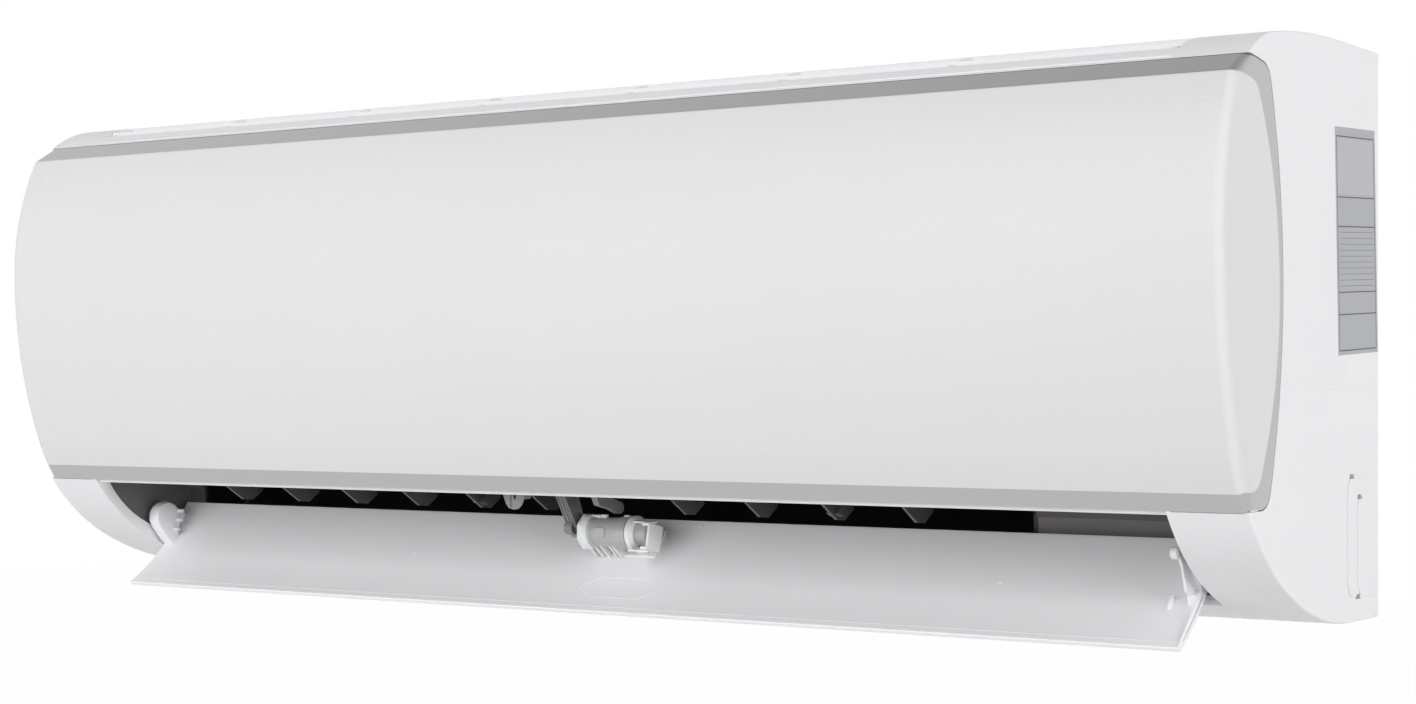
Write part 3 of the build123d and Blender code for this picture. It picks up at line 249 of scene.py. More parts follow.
@dataclass(frozen=True)
class Finish:
    """One surface finish, with every number it needs."""

    name: str
    colour: Colour
    roughness: float = 0.45
    metallic: float = 0.0
    drift: float = 0.02
    grain_scale: float = 900.0
    grain_depth: float = 0.02
    coat: float = 0.0
    coat_roughness: float = 0.05
    transmission: float = 0.0
    subsurface: float = 0.0
    dust: float = 0.0
    wear: float = 0.0
    worn: Colour = (0.75, 0.75, 0.75)
    pattern: Pattern = Pattern.NONE

    def material(self) -> bpy.types.Material:
        """Builds the node material, or returns the one already built.

        Returns:
            The material of this finish.
        """
        title = f"{self.name}_finish"
        known = bpy.data.materials.get(title)
        if known:
            return known
        material = bpy.data.materials.new(title)
        tree = NodeTree.blank(material)
        shader = tree.add(
            "ShaderNodeBsdfPrincipled",
            {
                "Metallic": self.metallic, "Coat Weight": self.coat,
                "Coat Roughness": self.coat_roughness, "Transmission Weight": self.transmission,
                "Subsurface Weight": self.subsurface, "Subsurface Scale": SUBSURFACE_DEPTH,
            },
        )
        tree.add("ShaderNodeOutputMaterial", {"Surface": shader.outputs["BSDF"]})
        place = tree.add("ShaderNodeTexCoord").outputs["Object"]
        layers = self._mottle(tree, place)
        if self.wear:
            self._rub(layers)
        if self.dust:
            self._settle(layers)
        if self.pattern is Pattern.BRUSHED:
            self._brush(layers)
        elif self.pattern is Pattern.FINS:
            mask = layers.lines("X", FIN_PITCH, FIN_WIDTH)
            # painted shade in the gaps between the fins
            layers.colour = tree.mix(mask, FIN_GAP_SHADE, layers.colour)
            grain = tree.math("MULTIPLY", layers.height, FIN_GRAIN)
            layers.height = tree.math("ADD", grain, mask)
        elif self.pattern is Pattern.NET:
            wires = (layers.lines(axis, NET_PITCH, NET_WIDTH) for axis in "XZ")
            tree.feed(tree.math("MAXIMUM", *wires), shader.inputs["Alpha"])
        values = {"Height": layers.height, "Strength": self.grain_depth, "Distance": BUMP_HEIGHT}
        bump = tree.add("ShaderNodeBump", values)
        tree.feed(layers.colour, shader.inputs["Base Color"])
        tree.feed(layers.rough, shader.inputs["Roughness"])
        tree.feed(bump.outputs["Normal"], shader.inputs["Normal"])
        return material

    def _mottle(self, tree: NodeTree, place: Socket) -> Layers:
        """Makes the slow drift of colour and gloss, and the fine moulded grain.

        Args:
            tree: The material's tree.
            place: Object coordinates.

        Returns:
            The first layers.
        """
        slow = tree.add("ShaderNodeTexNoise", {"Vector": place} | DRIFT_NOISE).outputs["Fac"]
        grain = {"Vector": place, "Scale": self.grain_scale, "Detail": 2.0}
        fine = tree.add("ShaderNodeTexNoise", grain).outputs["Fac"]
        swing = tree.math("SUBTRACT", slow, 0.5)
        shade = tree.math("ADD", tree.math("MULTIPLY", swing, 2.0 * self.drift), 1.0)
        bright = tree.add("ShaderNodeHueSaturation", {"Value": shade, "Color": self.colour})
        rough = tree.math("MULTIPLY", swing, ROUGHNESS_DRIFT)
        rough = tree.math("ADD", rough, self.roughness, clamp=True)
        return Layers(tree, place, bright.outputs["Color"], rough, fine)

    def _rub(self, layers: Layers) -> None:
        """Brightens the metal where edges have been rubbed.

        Args:
            layers: What the wear is laid over.
        """
        tree = layers.tree
        rim = tree.add("ShaderNodeNewGeometry").outputs["Pointiness"]
        edge = tree.add("ShaderNodeMapRange", {"Value": rim} | WORN_EDGE)
        speck = tree.add("ShaderNodeTexNoise", {"Vector": layers.place} | SPECK_NOISE)
        mask = tree.math("MULTIPLY", edge.outputs["Result"], speck.outputs["Fac"])
        mask = tree.math("MULTIPLY", mask, WORN_GAIN, clamp=True)
        mask = tree.math("MULTIPLY", mask, self.wear, clamp=True)
        layers.colour = tree.mix(mask, layers.colour, self.worn)

    def _settle(self, layers: Layers) -> None:
        """Lays a thin film of dust on what faces up.

        Args:
            layers: What the dust is laid over.
        """
        tree = layers.tree
        facing = tree.add("ShaderNodeNewGeometry").outputs["Normal"]
        rise = tree.add("ShaderNodeSeparateXYZ", {0: facing}).outputs["Z"]
        patch = tree.add("ShaderNodeTexNoise", {"Vector": layers.place} | DUST_NOISE)
        up = tree.math("POWER", tree.math("MAXIMUM", rise, 0.0), DUST_SLOPE)
        mask = tree.math("MULTIPLY", up, patch.outputs["Fac"])
        mask = tree.math("MULTIPLY", mask, self.dust, clamp=True)
        layers.colour = tree.mix(mask, layers.colour, DUST_COLOUR)
        film = tree.math("MULTIPLY", mask, DUST_ROUGHNESS)
        layers.rough = tree.math("ADD", layers.rough, film, clamp=True)

    @staticmethod
    def _brush(layers: Layers) -> None:
        """Draws fine streaks along X, for drawn and brushed metal.

        Args:
            layers: What the streaks are laid over.
        """
        tree = layers.tree
        values = {0: layers.place, 1: STREAK_STRETCH}
        stretch = tree.add("ShaderNodeVectorMath", values, operation="MULTIPLY").outputs[0]
        streak = tree.add("ShaderNodeTexNoise", {"Vector": stretch} | STREAK_NOISE).outputs["Fac"]
        layers.height = tree.math("ADD", layers.height, streak)
        gloss = tree.math("MULTIPLY", streak, STREAK_ROUGHNESS)
        layers.rough = tree.math("ADD", layers.rough, gloss, clamp=True)


FINISHES: dict[str, Finish] = {
    finish.name: finish
    for finish in (
        Finish(
            "panel_white", (0.70, 0.70, 0.708), 0.2, drift=0.006, grain_scale=260.0,
            grain_depth=0.006, coat=0.6, coat_roughness=0.06, subsurface=0.04,
        ),
        Finish(
            "casing_white", (0.872, 0.866, 0.888), 0.36, drift=0.008, grain_scale=1400.0,
            dust=0.02, subsurface=0.04,
        ),
        Finish(
            "silver_band", (0.475, 0.472, 0.48), 0.33, metallic=0.75, grain_scale=3000.0,
            grain_depth=0.03, coat=0.3, coat_roughness=0.12,
        ),
        Finish("casing_grey", (0.46, 0.46, 0.455), 0.5, grain_scale=1200.0, grain_depth=0.04),
        Finish("duct_dark", (0.018, 0.016, 0.015), 0.42, drift=0.05, grain_depth=0.04, dust=0.05),
        Finish(
            "fan_black", (0.012, 0.012, 0.013), 0.38, drift=0.05, grain_scale=800.0,
            grain_depth=0.03, dust=0.1,
        ),
        Finish("filter_white", (0.70, 0.71, 0.71), 0.42, drift=0.01),
        Finish("filter_net", (0.22, 0.235, 0.25), 0.7, drift=0.03, pattern=Pattern.NET),
        Finish(
            "clip_clear", (0.74, 0.75, 0.745), 0.28, drift=0.01, transmission=0.45, subsurface=0.1,
        ),
        Finish("clip_white", (0.87, 0.87, 0.87), 0.3, drift=0.01, subsurface=0.15),
        Finish("motor_white", (0.62, 0.61, 0.58), 0.4, grain_depth=0.03),
        Finish("terminal_white", (0.72, 0.70, 0.65), 0.38, drift=0.01),
        Finish("button_white", (0.82, 0.82, 0.82), 0.25, drift=0.01, grain_depth=0.01),
        Finish(
            "board_green", (0.015, 0.11, 0.035), 0.3, drift=0.06, grain_scale=500.0,
            grain_depth=0.08, coat=0.4,
        ),
        Finish("duct_grey", (0.17, 0.16, 0.157), 0.45, drift=0.04, grain_depth=0.04, dust=0.05),
        Finish("vane_grey", (0.105, 0.104, 0.105), 0.34, drift=0.05, grain_depth=0.03, dust=0.08),
        Finish(
            "bracket_grey", (0.24, 0.236, 0.236), 0.4, drift=0.03, grain_depth=0.04,
            subsurface=0.05,
        ),
        # painted shade: near-black for the boxes behind the pipe slots, standing in for the shade
        # inside the casing
        Finish("slot_shade", (0.006, 0.006, 0.006), 0.8, drift=0.05, grain_depth=0.05),
        Finish("tab_pale", (0.33, 0.335, 0.335), 0.4, grain_depth=0.03, subsurface=0.1),
        Finish(
            "sticker_silver", (0.44, 0.45, 0.47), 0.42, metallic=0.35, drift=0.03,
            grain_scale=2200.0, grain_depth=0.04, pattern=Pattern.BRUSHED,
        ),
        Finish("sticker_field", (0.50, 0.505, 0.52), 0.5, metallic=0.2, drift=0.03),
        Finish("sticker_ink", (0.05, 0.05, 0.055), 0.5, drift=0.05),
        Finish("sticker_white", (0.86, 0.86, 0.865), 0.25, drift=0.01, grain_depth=0.01, coat=0.3),
        Finish(
            "soft_rubber", (0.025, 0.025, 0.027), 0.75, drift=0.08, grain_scale=700.0,
            grain_depth=0.12,
        ),
        Finish(
            "fin_stock", (0.62, 0.65, 0.68), 0.35, metallic=0.85, drift=0.05, grain_depth=0.5,
            pattern=Pattern.FINS,
        ),
        Finish(
            "tube_metal", (0.72, 0.30, 0.14), 0.3, metallic=1.0, drift=0.08, grain_depth=0.05,
            wear=0.3, worn=(0.9, 0.5, 0.3), pattern=Pattern.BRUSHED,
        ),
        Finish(
            "nut_metal", (0.68, 0.46, 0.17), 0.28, metallic=1.0, drift=0.06, grain_depth=0.05,
            wear=0.4, worn=(0.9, 0.7, 0.35), pattern=Pattern.BRUSHED,
        ),
        Finish(
            "galvanised", (0.46, 0.48, 0.50), 0.42, metallic=0.9, drift=0.12, grain_scale=120.0,
            grain_depth=0.06, wear=0.3, worn=(0.7, 0.72, 0.74),
        ),
        Finish(
            "shaft_steel", (0.46, 0.46, 0.46), 0.25, metallic=1.0, drift=0.04, grain_depth=0.05,
            pattern=Pattern.BRUSHED,
        ),
        Finish(
            "screw_steel", (0.55, 0.55, 0.55), 0.3, metallic=1.0, drift=0.05, grain_depth=0.05,
            wear=0.3,
        ),
    )
}
# nodes whose finish isn't that of their material slot
NODE_FINISH = {"outlet_duct": "duct_grey", "flap_bracket": "bracket_grey"}
NODE_FINISH |= {f"vane_{number:02d}": "vane_grey" for number in range(1, 11)}


# ---- stage
@dataclass(frozen=True)
class Lamp:
    """One square soft box, turned to the origin."""

    name: str
    place: tuple[float, float, float]
    size: float
    power: float


@dataclass(frozen=True)
class Stage:
    """Floor, backdrop, lamps and the camera that stands where the photograph was taken."""

    camera_place: tuple[float, float, float] = (0.817, -1.2263, -0.0276)
    camera_turn: float = 34.1
    lens: float = 62.19
    sensor: float = 36.0
    shift_up: float = 0.0261
    floor_level: float = -0.75
    floor_size: float = 14.0
    floor_colour: Colour = (0.86, 0.86, 0.86)
    floor_glow: float = 0.99
    world_light: float = 0.2
    # the studio's ceiling mirrors darker than its walls
    ceiling_rise: Point = (0.5, 0.85)
    ceiling_dark: float = 0.4
    lamps: tuple[Lamp, ...] = (
        Lamp("key_box", (-0.1, -2.4, 0.95), 2.0, 32.0),
        Lamp("side_box", (5.0, -1.6, 1.0), 3.0, 157.0),
        Lamp("low_box", (-1.2, -2.2, -0.2), 1.4, 13.0),
    )

    def build(self) -> None:
        """Makes everything round the object."""
        bpy.context.scene.view_settings.view_transform = "Standard"
        self._camera()
        self._floor()
        self._world()
        self._lamps()

    def _camera(self) -> None:
        """Creates the camera."""
        data = bpy.data.cameras.new("camera")
        data.sensor_fit = "HORIZONTAL"
        data.sensor_width = self.sensor
        data.lens = self.lens
        data.shift_y = self.shift_up
        data.clip_start = 0.01
        camera = put("camera", data)
        camera.location = self.camera_place
        camera.rotation_euler = (math.radians(90), 0.0, math.radians(self.camera_turn))
        bpy.context.scene.camera = camera

    def _floor(self) -> None:
        """Makes the pale floor, which shows white and keeps the object's shadow."""
        shape = bmesh.new()
        bmesh.ops.create_grid(shape, x_segments=1, y_segments=1, size=self.floor_size / 2)
        bmesh.ops.translate(shape, verts=shape.verts, vec=(0.0, 0.0, self.floor_level))
        mesh = bpy.data.meshes.new("floor")
        shape.to_mesh(mesh)
        shape.free()
        floor = put("floor", mesh)
        material = bpy.data.materials.new("pale_floor")
        tree = NodeTree.blank(material)
        paper = tree.add("ShaderNodeBsdfDiffuse", {"Color": self.floor_colour})
        white = tree.add("ShaderNodeEmission", {"Color": WHITE, "Strength": 1.0})
        direct, _ = tree.seen()
        share = tree.math("MULTIPLY", direct, self.floor_glow)
        tree.blend("ShaderNodeOutputMaterial", share, paper, white)
        mesh.materials.append(material)

    def _world(self) -> None:
        """Lights the object evenly and shows white behind it."""
        world = bpy.data.worlds.new("studio")
        bpy.context.scene.world = world
        tree = NodeTree.blank(world)
        direct, mirrored = tree.seen()
        way = tree.add("ShaderNodeTexCoord").outputs["Generated"]
        rise = tree.add("ShaderNodeSeparateXYZ", {0: way}).outputs["Z"]
        low, high = self.ceiling_rise
        span = {"From Min": low, "From Max": high, "To Min": 1.0, "To Max": self.ceiling_dark}
        ceiling = tree.add("ShaderNodeMapRange", {"Value": rise} | span).outputs[0]
        loss = tree.math("MULTIPLY", mirrored, tree.math("SUBTRACT", 1.0, ceiling))
        glow = tree.math("SUBTRACT", 1.0, loss)
        light, white = (
            tree.add("ShaderNodeBackground", {"Color": WHITE, "Strength": strength})
            for strength in (self.world_light, glow)
        )
        tree.blend("ShaderNodeOutputWorld", direct, light, white)

    def _lamps(self) -> None:
        """Hangs the soft boxes."""
        for lamp in self.lamps:
            data = bpy.data.lights.new(lamp.name, "AREA")
            data.shape = "SQUARE"
            data.size = lamp.size
            data.energy = lamp.power
            box = put(lamp.name, data)
            box.location = lamp.place
            box.visible_glossy = False
            box.rotation_euler = (-Vector(lamp.place)).to_track_quat("-Z", "Y").to_euler()


# ---- carried-over CAD nodes
@dataclass
class CadDressing:
    """Gives every CAD node the finish of its material slot, or its own."""

    frame: dict

    def dress(self) -> None:
        """Assigns the finishes."""
        slots = {row["node"]: row["material_slot"] for row in self.frame["record"]["subparts"]}
        for node, piece in self.frame["nodes"].items():
            material = FINISHES[NODE_FINISH.get(node, slots[node])].material()
            if not piece.material_slots:
                piece.data.materials.append(material)
            for slot in piece.material_slots:
                slot.material = material
            LOG.info("node %s: %s", node, material.name)


# ---- shaping
class Moulding:
    """A bmesh in millimetres, with the operations that the small pieces are shaped with."""

    def __init__(self) -> None:
        """Starts empty."""
        self.mesh = bmesh.new()

    def _ease(self, verts: list[bmesh.types.BMVert], width: float) -> None:
        """Bevels every sharp edge of a closed shape.

        Args:
            verts: The shape's vertices.
            width: Width of the bevel, or 0 for none.
        """
        if width <= 0.0:
            return
        inside = set(verts)
        edges = {edge for vert in verts for edge in vert.link_edges if set(edge.verts) <= inside}
        sharp = [e for e in edges if e.is_manifold and e.calc_face_angle(0.0) > EASE_RADIANS]
        bmesh.ops.bevel(
            self.mesh, geom=sharp, offset=width, offset_type="OFFSET", affect="EDGES",
            segments=2, profile=0.5, material=-1, clamp_overlap=True,
        )

    def plate(self, corners: list, travel: tuple | Vector, ease: float = 0.0) -> None:
        """Adds a closed plate with eased edges.

        Args:
            corners: Corners of one face in order.
            travel: Vector to the other face.
            ease: Width of the bevel on its edges.
        """
        near = [self.mesh.verts.new(corner) for corner in corners]
        face = self.mesh.faces.new(near)
        made = bmesh.ops.extrude_face_region(self.mesh, geom=[face])["geom"]
        far = [item for item in made if isinstance(item, bmesh.types.BMVert)]
        bmesh.ops.translate(self.mesh, verts=far, vec=travel)
        faces = list({face for vert in near + far for face in vert.link_faces})
        bmesh.ops.recalc_face_normals(self.mesh, faces=faces)
        self._ease(near + far, ease)

    def box(self, x: Point, y: Point, z: Point, ease: float = 0.0) -> None:
        """Adds a box.

        Args:
            x: Its range along X.
            y: Its range along Y.
            z: Its range along Z.
            ease: Width of the bevel on its edges.
        """
        ranges = (x, y, z)
        size = [high - low for low, high in ranges]
        middle = [(low + high) / 2 for low, high in ranges]
        verts = bmesh.ops.create_cube(self.mesh, size=1.0)["verts"]
        bmesh.ops.scale(self.mesh, verts=verts, vec=size)
        bmesh.ops.translate(self.mesh, verts=verts, vec=middle)
        self._ease(verts, ease)

    def bar(self, x: Point, low: Point, high: Point, ease: float) -> None:
        """Adds a box along X between two corners (y, z)."""
        self.box(x, (low[0], high[0]), (low[1], high[1]), ease)

    def prism(self, outline: list[Point], x: Point, ease: float = 0.0) -> None:
        """Adds a plate that stands across X, from its corners (y, z) and its range along X."""
        corners = [(x[0], across, up) for across, up in outline]
        self.plate(corners, (x[1] - x[0], 0.0, 0.0), ease)

    def facade(self, outline: list[Point], y: Point, ease: float = 0.0) -> None:
        """Adds a plate that faces the room, from its corners (x, z) and its range along Y."""
        corners = [(along, y[0], up) for along, up in outline]
        self.plate(corners, (0.0, y[1] - y[0], 0.0), ease)

    def turned(
        self, profile: list[Point], centre: Point, start: float = 0.0, angle: float = 360.0,
        steps: int = 40,
    ) -> None:
        """Adds a shape turned about an axis along X.

        Args:
            profile: Closed outline of (x, radius) points.
            centre: (y, z) of the axis.
            start: Degrees at which the turn starts, from +Y towards +Z.
            angle: Degrees of the turn, 360 for a whole ring.
            steps: Number of steps in the turn.
        """
        y, z = centre
        out, up = math.cos(math.radians(start)), math.sin(math.radians(start))
        ring = [self.mesh.verts.new((x, y + r * out, z + r * up)) for x, r in profile]
        edges = [self.mesh.edges.new(pair) for pair in zip(ring, ring[1:] + ring[:1])]
        known = set(self.mesh.verts) - set(ring)
        bmesh.ops.spin(
            self.mesh, geom=ring + edges, cent=(0.0, y, z), axis=(1.0, 0.0, 0.0),
            angle=math.radians(angle), steps=steps, use_merge=angle >= 360.0,
            use_duplicate=False,
        )
        made = [vert for vert in self.mesh.verts if vert not in known]
        if angle < 360.0:
            rims = {edge for vert in made for edge in vert.link_edges if edge.is_boundary}
            bmesh.ops.holes_fill(self.mesh, edges=list(rims), sides=0)

    def piece(self, name: str, body: str, finish: str, slot: str, replaces: str = "") -> None:
        """Turns the moulding into a finished piece of the object.

        Args:
            name: The piece's name.
            body: The CAD body that it rides on.
            finish: Name of its finish.
            slot: The record's material slot; not used.
            replaces: The CAD node that it stands for, if any.
        """
        bmesh.ops.remove_doubles(self.mesh, verts=self.mesh.verts, dist=WELD)
        bmesh.ops.recalc_face_normals(self.mesh, faces=self.mesh.faces)
        bmesh.ops.scale(self.mesh, verts=self.mesh.verts, vec=(MM, MM, MM))
        mesh = bpy.data.meshes.new(name)
        self.mesh.to_mesh(mesh)
        self.mesh.free()
        mesh.shade_smooth()
        mesh.set_sharp_from_angle(angle=math.radians(SHARP_DEGREES))
        mesh.materials.append(FINISHES[finish].material())
        piece = put(name, mesh)
        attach(piece, body)
        if replaces:
            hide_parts(replaces)
        LOG.info("piece %s on %s: %d faces", name, body, len(mesh.polygons))


def disc_profile(x: Point, outer: float, inner: float, ease: float = 0.4) -> list[Point]:
    """Closed (x, radius) profile of a ring with eased outer corners.

    Args:
        x: Where the ring starts and ends.
        outer: Outer radius.
        inner: Inner radius.
        ease: Size of the eased corners.

    Returns:
        The profile.
    """
    low, high = x
    return [
        (low, inner), (low, outer - ease), (low + ease, outer), (high - ease, outer),
        (high, outer - ease), (high, inner),
    ]


def arc_point(centre: Point, radius: float, angle: float) -> Point:
    """(y, z) of the point of a circle at an angle in radians from +Y towards +Z."""
    return centre[0] + radius * math.cos(angle), centre[1] + radius * math.sin(angle)


def lens_outline(
    first: Point, first_r: float, second: Point, second_r: float, steps: int = 9
) -> list[Point]:
    """Outline of a plate round two circles, as a lever or an ear has.

    Args:
        first: Centre (y, z) of the first circle.
        first_r: Its radius.
        second: Centre of the second circle.
        second_r: Its radius.
        steps: Points on each arc.

    Returns:
        The outline's corners.
    """
    heading = math.atan2(second[1] - first[1], second[0] - first[0])
    lean = math.acos(max(-1.0, min(1.0, (first_r - second_r) / math.dist(first, second))))
    outline = []
    for centre, radius, start, turn in (
        (first, first_r, heading + lean, 2 * math.pi - 2 * lean),
        (second, second_r, heading - lean, 2 * lean),
    ):
        for index in range(steps):
            outline.append(arc_point(centre, radius, start + turn * index / (steps - 1)))
    return outline


# ---- sub-assemblies
@dataclass(frozen=True)
class Grille:
    """Corner gussets beside the cross ribs of the top grille, and the steps of its front lip."""

    ribs: tuple[float, ...] = (-358.0, -259.0, -158.0, -60.0, 42.0, 139.0, 239.0)
    rib_half: float = 1.25
    half_x: float = 360.0
    steps: tuple[Span, ...] = (
        ((-171.2, 125.7), (-167.0, 128.0)),
        ((-166.2, 128.4), (-162.4, 130.3)),
    )
    step_rise: float = 0.75
    step_root: float = 1.0
    rows: tuple[Span, ...] = (
        ((-165.6, 128.6), (-160.2, 131.3)),
        ((-154.6, 133.8), (-147.6, 136.4)),
    )
    width: float = 9.5
    back_width: float = 3.8
    rise: float = 0.595
    root: float = 4.0

    def build(self) -> None:
        """Makes the gussets and the steps."""
        gussets = Moulding()
        for rib in self.ribs:
            x = rib + self.rib_half
            for (front_y, front_z), (back_y, back_z) in self.rows:
                along = Vector((0.0, back_y - front_y, back_z - front_z)).normalized()
                normal = Vector((0.0, -along.z, along.y))
                corners = [
                    Vector((x, front_y, front_z)),
                    Vector((x + self.width, front_y, front_z)),
                    Vector((x + self.back_width, back_y, back_z)),
                    Vector((x, back_y, back_z)),
                ]
                base = [corner - normal * self.root for corner in corners]
                gussets.plate(base, normal * (self.root + self.rise))
        gussets.piece("grille_gussets", "frame", "casing_white", "casing_white")
        lip = Moulding()
        for (front_y, front_z), (back_y, back_z) in self.steps:
            outline = [
                (front_y, front_z - self.step_root), (front_y, front_z + self.step_rise),
                (back_y, back_z + self.step_rise), (back_y, back_z - self.step_root),
            ]
            lip.prism(outline, (-self.half_x, self.half_x), 0.2)
        lip.piece("grille_lip_steps", "frame", "casing_white", "casing_white")


@dataclass(frozen=True)
class FlapParts:
    """What is moulded on the inner side of the air flap: lip, ears with ribs, and marks.

    Points along the flap count from its front edge along its chord.
    """

    axis: Point = (-121.0, -108.0)
    open_degrees: float = 80.1
    front: Point = (-47.6, 18.0)
    back: Point = (9.9, -22.7)
    belly: float = 4.6
    thick: float = 2.4
    half_x: float = 355.0
    root: float = -0.4
    sink: float = 0.6
    lip_along: Point = (4.8, 5.6)
    ear_teeth: tuple[Point, ...] = ((-113.4, -105.8), (-114.4, -111.6), (-116.6, -117.4))
    nub: Point = (-139.0, -105.6)
    # swing marks: two lines with an arrow head at each end, whose tips point outwards
    line_rows: Point = (13.0, 29.0)
    line_x: Point = (0.0, 32.0)
    heads: tuple[Point, ...] = ((-11.0, 1.0), (43.0, -1.0))
    head_row: float = 21.0
    head_length: float = 11.0
    head_half: float = 8.0
    head_steps: int = 8
    mark_height: float = 0.25
    # ejector marks, (x, along)
    ejectors: tuple[Point, ...] = ((-144.8, 39.8), (50.5, 66.0), (245.0, 39.8))

    def place(self, along: float, height: float = 0.0) -> Point:
        """(y, z) of a point on the flap's inner face.

        Args:
            along: Distance along the flap's chord from its front edge.
            height: Height above the inner face.

        Returns:
            The point in millimetres.
        """
        chord = math.dist(self.front, self.back)
        run = ((self.back[0] - self.front[0]) / chord, (self.back[1] - self.front[1]) / chord)
        out = (run[1], -run[0])
        bow = self.belly * (1.0 - ((along - chord / 2) / (chord / 2)) ** 2) - self.thick - height
        x = self.front[0] + along * run[0] + bow * out[0]
        y = self.front[1] + along * run[1] + bow * out[1]
        turn = math.radians(self.open_degrees)
        return (
            self.axis[0] + x * math.cos(turn) - y * math.sin(turn),
            self.axis[1] + x * math.sin(turn) + y * math.cos(turn),
        )

    def near_axis(self, dy: float, dz: float) -> Point:
        """(y, z) of a point given from the flap's axis."""
        return self.axis[0] + dy, self.axis[1] + dz

    def strip(self, moulding: Moulding, along: Point, x: Point, height: float) -> None:
        """Adds a low raised strip on the inner face.

        Args:
            moulding: What it is added to.
            along: Where it starts and ends along the chord.
            x: Where it starts and ends along X.
            height: Its height.
        """
        start, end = along
        corners = ((start, -self.sink), (start, height), (end, height), (end, -self.sink))
        moulding.prism([self.place(*corner) for corner in corners], x)

    def build(self) -> None:
        """Makes every piece on the flap."""
        lip = Moulding()
        self.strip(lip, self.lip_along, (-self.half_x + 1.0, self.half_x - 2.5), 0.3)
        lip.piece("flap_lip", "flap", "casing_white", "casing_white")
        ears = Moulding()
        self._left_ear(ears)
        self._right_ear(ears)
        ears.piece("flap_ears", "flap", "casing_white", "casing_white")
        self._marks()

    def _left_ear(self, ears: Moulding) -> None:
        """Adds the rounded lever at the left end, with its three teeth.

        Args:
            ears: What they are added to.
        """
        left = -self.half_x
        lever = lens_outline(self.near_axis(-1.5, -1.5), 9.6, self.place(41.0, 1.5), 4.2)
        ears.prism(lever, (left - 1.0, left + 8.0), 1.6)
        for y, z in self.ear_teeth:
            ears.bar((left + 7.0, left + 11.5), (y - 2.4, z - 1.0), (y + 0.8, z + 1.0), 0.3)

    def _right_ear(self, ears: Moulding) -> None:
        """Adds the plate with its nub and hub, the rim, the ramp and the small rib.

        Args:
            ears: What they are added to.
        """
        right, place, root = self.half_x, self.place, self.root
        plate = [
            place(34.0, 1.0), (-131.8, -124.6), (-136.4, -112.0),
            (self.nub[0] - 1.0, self.nub[1] - 2.2), self.nub, self.near_axis(-4.0, 7.5),
            self.near_axis(4.0, 6.5), place(58.0, 0.0), place(34.0, root),
        ]
        ears.prism(plate, (right - 4.6, right - 3.0), 0.5)
        ears.turned(disc_profile((right - 8.0, right - 3.2), 3.1, 0.9, 0.9), self.nub)
        ears.turned(disc_profile((right - 7.0, right - 2.5), 5.0, 2.9, 0.8), self.axis)
        rim = [
            place(0.8, root), place(1.2, 0.3), place(30.0, 2.2), (-123.6, -125.6),
            place(42.0, 2.0), place(42.0, root),
        ]
        ramp = [
            place(30.0, root), place(31.0, 0.5), (-125.8, -126.6), place(40.0, 2.4),
            place(41.0, root),
        ]
        rib = [place(27.0, root), place(27.5, 0.2), place(34.5, 2.4), place(35.5, root)]
        for outline, start, end, ease in (
            (rim, 1.6, 0.1, 0.3), (ramp, 6.0, 1.5, 0.3), (rib, 16.0, 13.6, 0.4)
        ):
            ears.prism(outline, (right - start, right - end), ease)

    def _marks(self) -> None:
        """Fine raised arrows for the swing direction, and the ejector marks."""
        marks = Moulding()
        for row in self.line_rows:
            self.strip(marks, (row - 0.25, row + 0.25), self.line_x, self.mark_height)
        for tip, side in self.heads:
            for step in range(self.head_steps):
                share = step / self.head_steps
                x = tip + side * self.head_length * share
                for way in (-1.0, 1.0):
                    row = self.head_row + way * self.head_half * share
                    along = tuple(sorted((row, row + way)))
                    across = tuple(sorted((x, x + side * 1.6)))
                    self.strip(marks, along, across, self.mark_height)
        for x, row in self.ejectors:
            for half_along, half_x, height in ((1.1, 2.2, 0.2), (0.5, 0.7, 0.7)):
                along = (row - half_along, row + half_along)
                self.strip(marks, along, (x - half_x, x + half_x), height)
        marks.piece("flap_marks", "flap", "casing_white", "casing_white")


